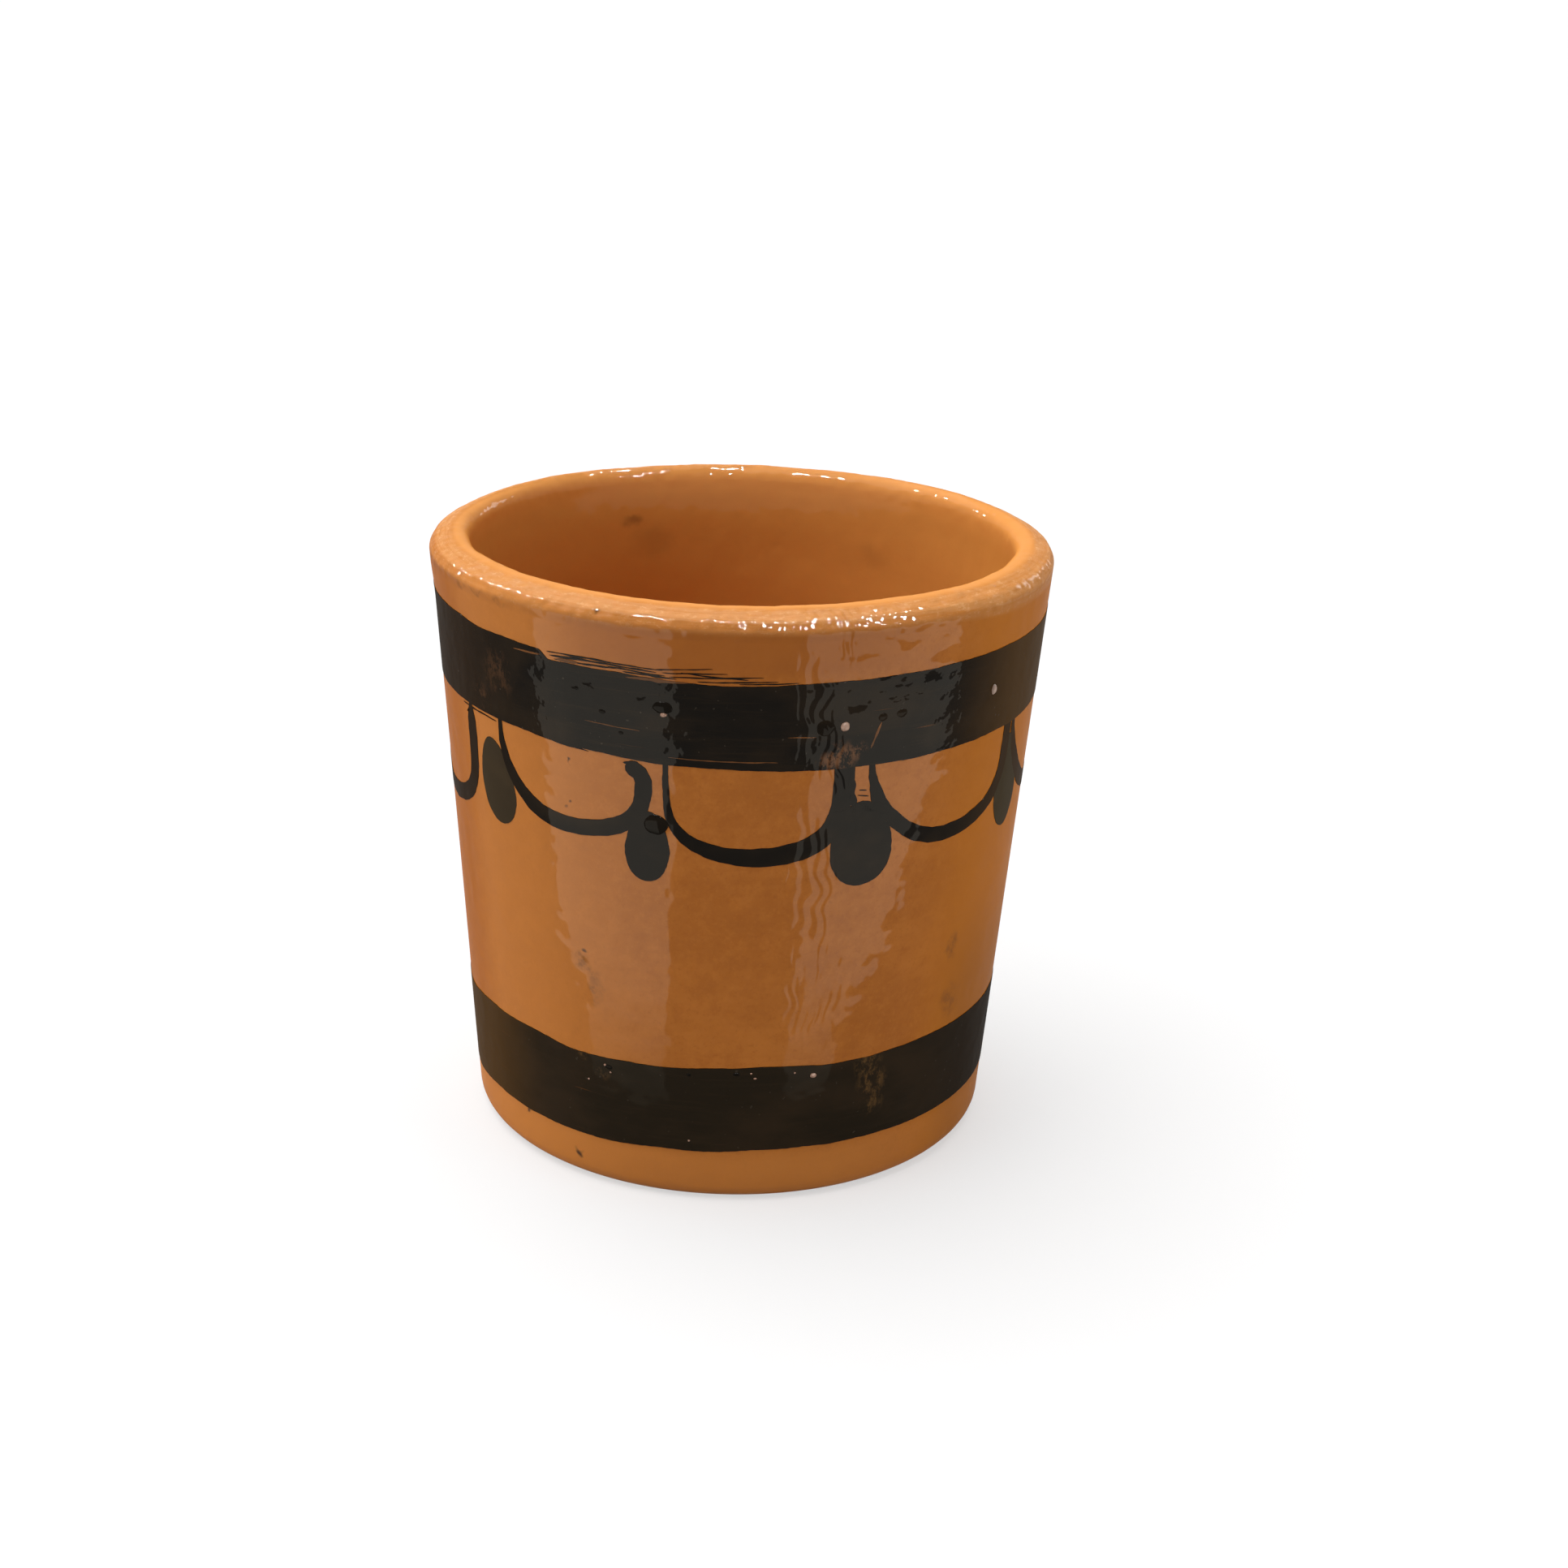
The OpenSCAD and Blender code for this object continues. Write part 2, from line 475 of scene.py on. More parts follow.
    def shade_as(self, wall: Wall) -> None:
        """Shade a thin skin as the wall is, so that narrow faces don't dent its gloss.

        Args:
            wall: Wall whose normals the skin takes.
        """
        self.pick_alone()
        bpy.ops.object.shade_smooth()
        mesh = self.piece.data
        mesh.normals_split_custom_set_from_vertices([wall.normal(point.co) for point in mesh.vertices])

    def join(self, others: Sequence["Bench"]) -> None:
        """Join other pieces into this one.

        Args:
            others: Benches with the other pieces.
        """
        self.pick_alone()
        for other in others:
            other.piece.select_set(True)
        bpy.ops.object.join()

    def dress(self, finish: Material) -> None:
        """Give the piece one finish."""
        self.piece.data.materials.clear()
        self.piece.data.materials.append(finish)


class Board:
    """A shader tree in the making: adds nodes and links them."""

    def __init__(self, tree: NodeTree) -> None:
        """Work on a tree."""
        self.tree = tree

    def node(self, kind: str, **settings: object) -> Node:
        """Add a node and set its properties.

        Args:
            kind: Blender's name of the node.
            **settings: Properties of the node.

        Returns:
            The node.
        """
        made = self.tree.nodes.new(kind)
        for name, value in settings.items():
            setattr(made, name, value)
        return made

    def feed(self, socket: NodeSocket, value: Feed) -> None:
        """Link a socket, or set it to a constant.

        Args:
            socket: Socket of a node.
            value: Output of another node, or the constant.
        """
        if isinstance(value, NodeSocket):
            self.tree.links.new(value, socket)
        else:
            socket.default_value = value

    def math(self, operation: str, first: Feed, second: Feed = 0.0, third: Feed = 0.0) -> NodeSocket:
        """Add a Math node.

        Args:
            operation: Blender's name of the operation.
            first: First value.
            second: Second value, where the operation has one.
            third: Third value, where the operation has one.

        Returns:
            The result socket.
        """
        made = self.node("ShaderNodeMath", operation=operation)
        for socket, value in zip(made.inputs, (first, second, third)):
            self.feed(socket, value)
        return made.outputs[0]

    def product(self, first: Feed, *others: Feed) -> Feed:
        """Multiply values with each other.

        Args:
            first: First value.
            *others: Values that it is multiplied by.

        Returns:
            The product.
        """
        for other in others:
            first = self.math("MULTIPLY", first, other)
        return first

    def most(self, first: Feed, *others: Feed) -> Feed:
        """Give the greatest of some values.

        Args:
            first: First value.
            *others: Values that it is compared with.

        Returns:
            The greatest value.
        """
        for other in others:
            first = self.math("MAXIMUM", first, other)
        return first

    def vector(self, operation: str, first: Feed, second: Feed, result: str = "Vector") -> NodeSocket:
        """Add a Vector Math node.

        Args:
            operation: Blender's name of the operation.
            first: First vector.
            second: Second vector.
            result: Name of the output that is wanted.

        Returns:
            The result socket.
        """
        made = self.node("ShaderNodeVectorMath", operation=operation)
        self.feed(made.inputs[0], first)
        self.feed(made.inputs[1], second)
        return made.outputs[result]

    def grain(self, where: Feed, scale: float, detail: float = 2.0, rough: float = 0.5,
              bend: float = 0.0, result: str = "Fac") -> NodeSocket:
        """Add a noise texture.

        Args:
            where: Coordinates that the noise is read at.
            scale: Bumps for each metre of the coordinates.
            detail: Number of finer layers.
            rough: Strength of the finer layers.
            bend: How far the noise bends its own coordinates.
            result: Name of the output that is wanted.

        Returns:
            The grey value or the colour, about 0.5 in the middle.
        """
        made = self.node("ShaderNodeTexNoise")
        self.feed(made.inputs["Vector"], where)
        self.feed(made.inputs["Scale"], scale)
        self.feed(made.inputs["Detail"], detail)
        self.feed(made.inputs["Roughness"], rough)
        self.feed(made.inputs["Distortion"], bend)
        return made.outputs[result]

    def step(self, value: Feed, low: float, high: float, start: float = 0.0,
             end: float = 1.0) -> NodeSocket:
        """Map a value smoothly from one range to another.

        Args:
            value: Value to map.
            low: Value that gives start.
            high: Value that gives end.
            start: Result at low.
            end: Result at high.

        Returns:
            The mapped value.
        """
        made = self.node("ShaderNodeMapRange", interpolation_type="SMOOTHSTEP")
        for name, number in (("From Min", low), ("From Max", high), ("To Min", start), ("To Max", end)):
            made.inputs[name].default_value = number
        self.feed(made.inputs["Value"], value)
        return made.outputs["Result"]

    def step_mm(self, value: Feed, low: float, high: float, start: float = 0.0,
                end: float = 1.0) -> NodeSocket:
        """Map a length smoothly, with low and high in millimetres."""
        return self.step(value, low * MM, high * MM, start, end)

    def step_deg(self, value: Feed, low: float, high: float, start: float = 0.0,
                 end: float = 1.0) -> NodeSocket:
        """Map an angle smoothly, with low and high in degrees."""
        return self.step(value, math.radians(low), math.radians(high), start, end)

    def blend(self, share: Feed, first: Feed, second: Feed) -> NodeSocket:
        """Mix two colours.

        Args:
            share: Share of the second colour.
            first: First colour.
            second: Second colour.

        Returns:
            The mixed colour.
        """
        made = self.node("ShaderNodeMix", data_type="RGBA")
        self.feed(made.inputs[0], share)
        self.feed(made.inputs[6], first)
        self.feed(made.inputs[7], second)
        return made.outputs[2]

    def shown(self) -> NodeSocket:
        """Tell the rays that show a thing, directly, in gloss or through glass, from the rest.

        Returns:
            1 for such a ray and 0 for the others.
        """
        rays = ("Is Camera Ray", "Is Glossy Ray", "Is Transmission Ray")
        path = self.node("ShaderNodeLightPath")
        return self.most(*(path.outputs[ray] for ray in rays))


class Sketch(Board):
    """A material in the making, with coordinates that follow the cup."""

    def __init__(self, name: str) -> None:
        """Start an empty node material.

        Args:
            name: Name of the material.
        """
        self.material = bpy.data.materials.new(name)
        self.material.use_nodes = True
        super().__init__(self.material.node_tree)
        self.tree.nodes.clear()
        self.place = self.node("ShaderNodeTexCoord").outputs["Object"]

    def stretched(self, up: float) -> NodeSocket:
        """Give coordinates that are scaled up the wall."""
        return self.vector("MULTIPLY", self.place, (1.0, 1.0, up))

    def shaken(self, scale: float, reach: float) -> NodeSocket:
        """Give coordinates that are shaken a little, so that marks have uneven edges.

        Args:
            scale: Bumps for each metre.
            reach: How far the coordinates are shaken.

        Returns:
            The coordinates.
        """
        noisy = self.grain(self.place, scale, result="Color")
        centred = self.vector("SUBTRACT", noisy, (0.5, 0.5, 0.5))
        return self.vector("ADD", self.place, self.vector("MULTIPLY", centred, (reach,) * 3))

    def part(self, axis: str) -> NodeSocket:
        """Give one part of the coordinates.

        Args:
            axis: X, Y or Z.

        Returns:
            The part.
        """
        made = self.node("ShaderNodeSeparateXYZ")
        self.feed(made.inputs[0], self.place)
        return made.outputs[axis]

    def turn(self) -> NodeSocket:
        """Give the angle round the cup, with its seam at the back."""
        return self.math("ARCTAN2", self.part("X"), self.product(self.part("Y"), -1.0))

    def off_axis(self) -> NodeSocket:
        """Give the distance from the axis of the cup."""
        level = self.vector("MULTIPLY", self.place, (1.0, 1.0, 0.0))
        return self.vector("LENGTH", level, ZERO, "Value")

    def depth(self) -> NodeSocket:
        """Give how far a point lies inside the cone of the outer wall."""
        outer = self.math("MULTIPLY_ADD", self.part("Z"), CONE_SLOPE, CONE_FOOT)
        return self.math("SUBTRACT", outer, self.off_axis())

    def turned(self, along: float) -> NodeSocket:
        """Give coordinates that follow the wheel, so that a noise becomes throwing lines.

        Args:
            along: How much the lines change along the turn, 1 for as much as across it.

        Returns:
            The coordinates.
        """
        made = self.node("ShaderNodeCombineXYZ")
        radius = self.off_axis()
        for number, axis in enumerate("XY"):
            share = self.math("DIVIDE", self.part(axis), radius)
            self.feed(made.inputs[number], self.product(share, WHEEL_RADIUS * along))
        self.feed(made.inputs[2], self.math("SUBTRACT", self.part("Z"), radius))
        return made.outputs[0]

    def bump(self, height: Feed) -> NodeSocket:
        """Turn a height in metres into a normal.

        Args:
            height: Height of the relief.

        Returns:
            The normal.
        """
        made = self.node("ShaderNodeBump")
        made.inputs["Strength"].default_value = 1.0
        made.inputs["Distance"].default_value = 1.0
        self.feed(made.inputs["Height"], height)
        return made.outputs["Normal"]

    def surface(self, **inputs: Feed) -> Material:
        """Finish the material with a Principled surface.

        Args:
            **inputs: Socket names with _ for a space, and their constants or links.

        Returns:
            The finished material.
        """
        shader = self.node("ShaderNodeBsdfPrincipled")
        for name, value in inputs.items():
            self.feed(shader.inputs[name.replace("_", " ")], value)
        return self.closed(shader)

    def closed(self, shader: Node) -> Material:
        """Finish the material with a shader.

        Args:
            shader: Node whose first output is the surface.

        Returns:
            The finished material.
        """
        out = self.node("ShaderNodeOutputMaterial")
        self.tree.links.new(shader.outputs[0], out.inputs["Surface"])
        return self.material


@dataclass(frozen=True)
class Smudge:
    """A soft mark in clay or slip.

    Attributes:
        degrees: Angle round the cup.
        z: Height in millimetres.
        radius: Distance from the axis in millimetres.
        size: Reach of the mark in millimetres.
        depth: How far it changes the colour, 0 to 1.
        tall: How much taller than wide it is.
        gritty: Whether the mark is broken up by grit.
    """

    degrees: float
    z: float
    radius: float
    size: float
    depth: float
    tall: float = 1.0
    gritty: bool = False

    def share(self, sketch: Sketch, where: NodeSocket, core: float) -> NodeSocket:
        """Give how far the mark covers a point.

        Args:
            sketch: Material in the making.
            where: Coordinates of the point.
            core: Share of the reach within which the mark is full.

        Returns:
            The cover, 0 to the depth of the mark.
        """
        middle = around(math.radians(self.degrees), self.radius * MM, self.z * MM)
        spread = sketch.vector("SUBTRACT", where, middle)
        spread = sketch.vector("MULTIPLY", spread, (1.0, 1.0, 1.0 / self.tall))
        gap = sketch.vector("LENGTH", spread, ZERO, "Value")
        return sketch.step_mm(gap, self.size, self.size * core, 0.0, self.depth)


@dataclass(frozen=True)
class Layer:
    """One layer of noise in the glaze.

    Attributes:
        height: Height of the layer.
        scale: Bumps for each metre.
        detail: Number of finer layers of noise.
        rough: Strength of the finer layers.
        bend: How far the noise bends its own coordinates.
    """

    height: float
    scale: float
    detail: float = 1.0
    rough: float = 0.5
    bend: float = 0.0

    def added(self, sketch: Sketch, total: Feed, where: NodeSocket,
              share: Optional[NodeSocket] = None) -> NodeSocket:
        """Add the layer to a relief.

        Args:
            sketch: Material in the making.
            total: Relief so far.
            where: Coordinates that the noise is read at.
            share: Share of the layer at a point, or None for the whole of it.

        Returns:
            The relief with the layer.
        """
        bumps = sketch.grain(where, self.scale, self.detail, self.rough, self.bend)
        if share is not None:
            bumps = sketch.product(share, bumps)
        return sketch.math("MULTIPLY_ADD", bumps, self.height, total)


@dataclass(frozen=True)
class GlazeRelief:
    """The uneven surface of the clear glaze. Zones are millimetres, angles are degrees.

    Attributes:
        swell: Slow swells.
        wave: Waves a few millimetres long.
        peel: Fine orange peel.
        lines: Throwing lines on the lip.
        lumps: Lumps on the lip.
        sugar: Fine grain on the lip.
        fold: Folds of glaze that hang below the lip, right of the front.
        run: Height of the ripples where the glaze ran down the front.
        run_pitch: Distance between the ripples.
        run_sway: How far the ripples sway from side to side.
        run_degrees: Angle of the middle of the run.
        run_span: Angles off that middle where the ripples start and are full.
        run_zone: Heights where the ripples start and are full.
        run_skin: Depths in the wall where the ripples end and are full.
        fold_low: Heights where the folds start and are full.
        fold_high: Heights where they end and are full.
        fold_left: Angles off the run where they start and are full.
        fold_right: Angles off the run where they end and are full.
        lip_zone: Heights where the lip starts and is full.
        lip_inner: Depths over which the inner side of the lip gets smoother.
    """

    swell: Layer = Layer(0.18 * MM, 110.0)
    wave: Layer = Layer(0.16 * MM, 300.0)
    peel: Layer = Layer(0.003 * MM, 900.0)
    lines: Layer = Layer(0.045 * MM, 1000.0, 2.0, 0.6)
    lumps: Layer = Layer(0.3 * MM, 640.0, 0.0)
    sugar: Layer = Layer(0.006 * MM, 2200.0)
    fold: Layer = Layer(0.5 * MM, 170.0, bend=0.8)
    run: float = 0.035 * MM
    run_pitch: float = 1.5 * MM
    run_sway: float = 5.0 * MM
    run_degrees: float = 16.0
    run_span: Span = (9.0, 2.7)
    run_zone: Span = (20.0, 36.0)
    run_skin: Span = (3.0, 2.0)
    fold_low: Span = (79.5, 82.5)
    fold_high: Span = (88.0, 86.0)
    fold_left: Span = (-14.0, -4.0)
    fold_right: Span = (50.0, 24.0)
    lip_zone: Span = (84.8, 86.4)
    lip_inner: Span = (2.6, 4.0)

    def height(self, sketch: Sketch) -> NodeSocket:
        """Build the relief in a material.

        Args:
            sketch: Material in the making.

        Returns:
            The height of the glaze in metres.
        """
        z = sketch.part("Z")
        off_run = sketch.math("SUBTRACT", sketch.turn(), math.radians(self.run_degrees))
        total = 0.0
        for layer in (self.swell, self.wave, self.peel):
            total = layer.added(sketch, total, sketch.place)
        total = sketch.math("MULTIPLY_ADD", self._ripples(sketch, z, off_run), self.run, total)
        hung = sketch.product(
            sketch.step_mm(z, *self.fold_low),
            sketch.step_mm(z, *self.fold_high),
            sketch.step_deg(off_run, *self.fold_left),
            sketch.step_deg(off_run, *self.fold_right),
        )
        total = self.fold.added(sketch, total, sketch.turned(0.6), hung)
        on_lip = sketch.product(
            sketch.step_mm(z, *self.lip_zone),
            sketch.step_mm(sketch.depth(), *self.lip_inner, 1.0, 0.3),
        )
        total = self.lines.added(sketch, total, sketch.turned(0.1), on_lip)
        total = self.lumps.added(sketch, total, sketch.place, on_lip)
        return self.sugar.added(sketch, total, sketch.turned(0.5), on_lip)

    def _ripples(self, sketch: Sketch, z: NodeSocket, off_run: NodeSocket) -> NodeSocket:
        """Build the upright ripples of the run.

        Args:
            sketch: Material in the making.
            z: Height above the table.
            off_run: Angle off the middle of the run.

        Returns:
            The ripples, -1 to 1.
        """
        inside = sketch.product(
            sketch.step_deg(sketch.math("ABSOLUTE", off_run), *self.run_span),
            sketch.step_mm(z, *self.run_zone),
            sketch.step_mm(sketch.depth(), *self.run_skin),
        )
        across = sketch.product(sketch.turn(), PAINT_RADIUS)
        across = sketch.math("MULTIPLY_ADD", sketch.grain(sketch.place, 170.0, 1.0), self.run_sway, across)
        upright = sketch.math("SINE", sketch.product(across, math.tau / self.run_pitch))
        patchy = sketch.step(sketch.grain(sketch.stretched(0.4), 260.0, 1.0), 0.34, 0.6)
        return sketch.product(inside, sketch.product(upright, patchy))


@dataclass(frozen=True)
class ClayFinish:
    """Orange-brown earthenware under clear glaze. Zones are millimetres, angles are degrees.

    Attributes:
        pale: Colour of the palest clay.
        middle: Colour of most of the clay.
        deep: Colour of the darkest clay.
        lit_cheek_colour: Paler colour of the cheek left of the front, painted light where the left light
            falls.
        left_side_shade: Deeper colour of the left side, clay tone with painted shade against the pale
            reflection.
        right_side_shade: Deeper, redder colour of the right side, clay tone with painted shade against the
            reflection.
        right_low_shade: Colour of the lower part of the right side, painted shade.
        foot: Paler colour of the strip above the table, painted bounce light from the floor.
        lip: Colour of the lip, paler where the glaze is thin and with a painted highlight.
        inner_lip_light: Colour of the inner rounding of the lip, painted light on the rounding.
        sugar: Colour of the pale grains on the lip.
        inside: Paler colour that the inner wall leans to, painted light that lifts the shade inside.
        mark: Colour of the smudges.
        wiped: Colour of the palest bare clay under the foot.
        cheek: Angle of the middle of the painted light on the cheek.
        cheek_span: Angles off that middle where the painted light starts and is full.
        left_span: Angles where the left side starts and is full.
        right_span: Angles where the right side starts and is full.
        low_span: Angles where the painted shade of the lower right side starts and is full.
        back_span: Angles where the sides end and are full, towards the back.
        low_zone: Heights where the painted shade of the lower right side starts and is full.
        foot_zone: Heights where the painted floor light of the foot strip starts and is full.
        foot_right: Angles where the foot strip fades on the right.
        foot_back: Angles where it comes back behind.
        under_low: Heights where the painted shade below the lip starts and is full.
        under_high: Heights where it ends and is full.
        under_span: Angles off the front where it starts and is full.
        inner_wall: Depths where the inner wall starts and is full.
        inner_edge: Depths where the inner side of the lip starts and is full.
        lip_low: Heights over which the lip gets half its colour.
        lip_high: Heights over which it gets the rest.
        lip_right: Angles where the lip's colour starts to reach lower on the right.
        lip_back: Angles where it ends to do so.
        lip_drop: How much lower it reaches there.
        hem: Heights over which the inner rounding gets its painted light.
        smudges: Soft marks in the clay.
        relief: Surface of the glaze.
        rough: Least and greatest roughness of the clay below the glaze.
        coat: Strength of the glaze's reflection.
        coat_roughness: Roughness of the glaze.
        grit: Height of the grit on the bare clay.
    """

    pale: Colour = (0.6, 0.195, 0.027, 1.0)
    middle: Colour = (0.52, 0.16, 0.018, 1.0)
    deep: Colour = (0.42, 0.12, 0.012, 1.0)
    # Painted light on the cheek left of the front.
    lit_cheek_colour: Colour = (0.67, 0.235, 0.046, 1.0)
    # Clay tone with painted shade on the two sides.
    left_side_shade: Colour = (0.46, 0.125, 0.003, 1.0)
    right_side_shade: Colour = (0.57, 0.172, 0.003, 1.0)
    # Painted shade on the lower right side.
    right_low_shade: Colour = (0.42, 0.128, 0.003, 1.0)
    # Painted bounce light from the floor on the strip above the table.
    foot: Colour = (0.7, 0.245, 0.045, 1.0)
    # The pale lip is thin glaze with a painted highlight.
    lip: Colour = (0.65, 0.274, 0.08, 1.0)
    # Painted light on the inner rounding of the lip.
    inner_lip_light: Colour = (0.76, 0.308, 0.072, 1.0)
    sugar: Colour = (0.75, 0.38, 0.15, 1.0)
    # Painted light that lifts the inner wall.
    inside: Colour = (0.63, 0.265, 0.062, 1.0)
    mark: Colour = (0.085, 0.038, 0.014, 1.0)
    wiped: Colour = (0.62, 0.27, 0.1, 1.0)
    cheek: float = -48.0
    cheek_span: Span = (42.0, 4.0)
    left_span: Span = (54.0, 68.0)
    right_span: Span = (34.0, 54.0)
    low_span: Span = (42.0, 58.0)
    back_span: Span = (130.0, 95.0)
    low_zone: Span = (46.0, 26.0)
    foot_zone: Span = (10.0, 6.0)
    foot_right: Span = (60.0, 20.0)
    foot_back: Span = (120.0, 165.0)
    # Painted shade below the lip.
    under_low: Span = (78.0, 82.0)
    under_high: Span = (87.0, 85.4)
    under_span: Span = (42.0, 18.0)
    inner_wall: Span = (3.0, 4.8)
    inner_edge: Span = (2.4, 3.9)
    lip_low: Span = (85.6, 86.6)
    lip_high: Span = (87.2, 87.5)
    lip_right: Span = (30.0, 58.0)
    lip_back: Span = (130.0, 100.0)
    lip_drop: float = 1.4 * MM
    hem: Span = (83.0, 88.0)
    smudges: tuple[Smudge, ...] = (
        Smudge(-29.3, 37.0, 41.3, 0.6, 0.95),
        Smudge(-30.7, 35.3, 41.1, 1.9, 0.5, 1.2, True),
        Smudge(-28.0, 33.9, 41.0, 1.7, 0.45, 1.0, True),
        Smudge(-27.2, 31.2, 40.9, 1.7, 0.5, 1.6, True),
        Smudge(49.1, 35.4, 41.2, 1.9, 0.5, 1.8, True),
        Smudge(51.0, 26.5, 40.5, 2.9, 0.4, 1.4, True),
        Smudge(-31.6, 59.7, 43.0, 0.5, 0.9),
        Smudge(-32.4, 58.4, 42.9, 0.45, 0.7),
        Smudge(-31.0, 65.3, 43.4, 0.55, 1.0),
        Smudge(-33.0, 4.0, 38.8, 1.2, 1.0, 0.8),
        Smudge(-48.1, 6.9, 39.0, 0.7, 0.9),
        Smudge(-24.6, 87.2, 44.5, 0.7, 0.9),
        Smudge(-58.0, 85.7, 45.0, 2.2, 0.3, 0.3, True),
        Smudge(-52.5, 85.9, 45.0, 2.6, 0.35, 0.25, True),
        Smudge(-46.5, 85.3, 45.0, 2.6, 0.3, 0.3, True),
        Smudge(206.5, 80.4, 39.3, 2.8, 0.45, 0.6),
        Smudge(202.0, 77.0, 39.0, 5.0, 0.16, 0.8),
        Smudge(147.0, 76.0, 38.8, 4.5, 0.12, 0.7),
    )
    relief: GlazeRelief = GlazeRelief()
    rough: Span = (0.42, 0.55)
    coat: float = 0.12
    coat_roughness: float = 0.05
    grit: float = 0.03 * MM

    def material(self) -> Material:
        """Build the glazed clay.

        Returns:
            The finished material.
        """
        sketch = Sketch("glazed_clay")
        colour = self._colour(sketch)
        relief = sketch.bump(self.relief.height(sketch))
        rough = sketch.step(sketch.grain(sketch.place, 240.0), 0.3, 0.7, *self.rough)
        return sketch.surface(
            Base_Color=colour, Roughness=rough, IOR=1.5, Specular_IOR_Level=0.0, Normal=relief,
            Coat_Weight=self.coat, Coat_Roughness=self.coat_roughness, Coat_IOR=1.75, Coat_Normal=relief,
        )

    def bare(self) -> Material:
        """Build the wiped, unglazed clay of the foot.

        Returns:
            The finished material.
        """
        sketch = Sketch("bare_foot_clay")
        cloud = sketch.grain(sketch.place, 90.0, 4.0, 0.6)
        grit = sketch.grain(sketch.place, 1800.0, 2.0, 0.7)
        tone = sketch.blend(sketch.step(cloud, 0.3, 0.7), self.middle, self.wiped)
        tone = sketch.blend(sketch.step(grit, 0.55, 0.75, 0.0, 0.4), tone, self.deep)
        relief = sketch.bump(sketch.product(grit, self.grit))
        return sketch.surface(Base_Color=tone, Roughness=0.85, Specular_IOR_Level=0.25, Normal=relief)

    def _colour(self, sketch: Sketch) -> NodeSocket:
        """Build the colour of the fired clay.

        Args:
            sketch: Material in the making.

        Returns:
            The colour socket.
        """
        cloud = sketch.grain(sketch.stretched(1.6), 38.0, 3.0, 0.55)
        rings = sketch.grain(sketch.stretched(18.0), 30.0, 2.0, 0.6)
        mottle = sketch.grain(sketch.place, 330.0, 4.0, 0.7)
        speckle = sketch.grain(sketch.place, 1500.0, 2.0, 0.7)
        tone = sketch.blend(sketch.step(cloud, 0.3, 0.7), self.deep, self.pale)
        tone = sketch.blend(0.5, tone, self.middle)
        for fleck, low, high, share, colour in (
            (rings, 0.52, 0.72, 0.22, self.deep),
            (mottle, 0.5, 0.34, 0.4, self.deep),
            (mottle, 0.5, 0.66, 0.4, self.pale),
            (speckle, 0.55, 0.72, 0.45, self.deep),
            (speckle, 0.45, 0.28, 0.35, self.pale),
        ):
            tone = sketch.blend(sketch.step(fleck, low, high, 0.0, share), tone, colour)
        tone = self._sides(sketch, tone)
        tone = self._zones(sketch, tone)
        tone = self._lip(sketch, tone)
        grit = sketch.step(sketch.grain(sketch.place, 650.0, 3.0, 0.7), 0.36, 0.62, 0.25, 1.0)
        shaken = sketch.shaken(420.0, 3.0 * MM)
        for mark in self.smudges:
            share = mark.share(sketch, shaken, 0.15)
            if mark.gritty:
                share = sketch.product(share, grit)
            tone = sketch.blend(share, tone, self.mark)
        return tone

    def _sides(self, sketch: Sketch, tone: NodeSocket) -> NodeSocket:
        """Paint light on the left cheek and shade on the sides and the lower right of the cup.

        Args:
            sketch: Material in the making.
            tone: Colour of the clay so far.

        Returns:
            The colour socket.
        """
        turn = sketch.turn()
        # Painted light on the cheek left of the front.
        off_cheek = sketch.math("ABSOLUTE", sketch.math("SUBTRACT", turn, math.radians(self.cheek)))
        tone = sketch.blend(sketch.step_deg(off_cheek, *self.cheek_span, 0.0, 0.65), tone, self.lit_cheek_colour)
        # Painted shade on each side, mixed into the clay's own tone.
        for side, colour, span in (
            (-1.0, self.left_side_shade, self.left_span),
            (1.0, self.right_side_shade, self.right_span),
        ):
            off = sketch.product(turn, side)
            rise = sketch.step_deg(off, *span)
            fall = sketch.step_deg(off, *self.back_span, 0.0, 0.85)
            tone = sketch.blend(sketch.product(rise, fall), tone, colour)
        # Painted shade on the lower right side.
        low = sketch.product(
            sketch.step_deg(turn, *self.low_span),
            sketch.step_deg(turn, *self.back_span, 0.0, 0.85),
            sketch.step_mm(sketch.part("Z"), *self.low_zone),
        )
        return sketch.blend(low, tone, self.right_low_shade)

    def _zones(self, sketch: Sketch, tone: NodeSocket) -> NodeSocket:
        """Paint floor light on the foot strip, shade below the lip and light on the inner wall.

        Args:
            sketch: Material in the making.
            tone: Colour of the clay so far.

        Returns:
            The colour socket.
        """
        z = sketch.part("Z")
        turn = sketch.turn()
        # Painted bounce light from the floor on the strip above the table.
        away = sketch.most(
            sketch.step_deg(turn, *self.foot_right, 0.25, 1.0),
            sketch.step_deg(turn, *self.foot_back, 0.25, 1.0),
        )
        foot = sketch.product(sketch.step_mm(z, *self.foot_zone, 0.0, 0.75), away)
        tone = sketch.blend(foot, tone, self.foot)
        # Painted shade on the wall below the lip.
        under = sketch.product(
            sketch.step_mm(z, *self.under_low),
            sketch.step_mm(z, *self.under_high, 0.0, 0.8),
            sketch.step_deg(sketch.math("ABSOLUTE", turn), *self.under_span),
        )
        tone = sketch.blend(under, tone, self.deep)
        # Painted light that lifts the inner wall.
        inside = sketch.step_mm(sketch.depth(), *self.inner_wall, 0.0, 0.8)
        return sketch.blend(inside, tone, self.inside)

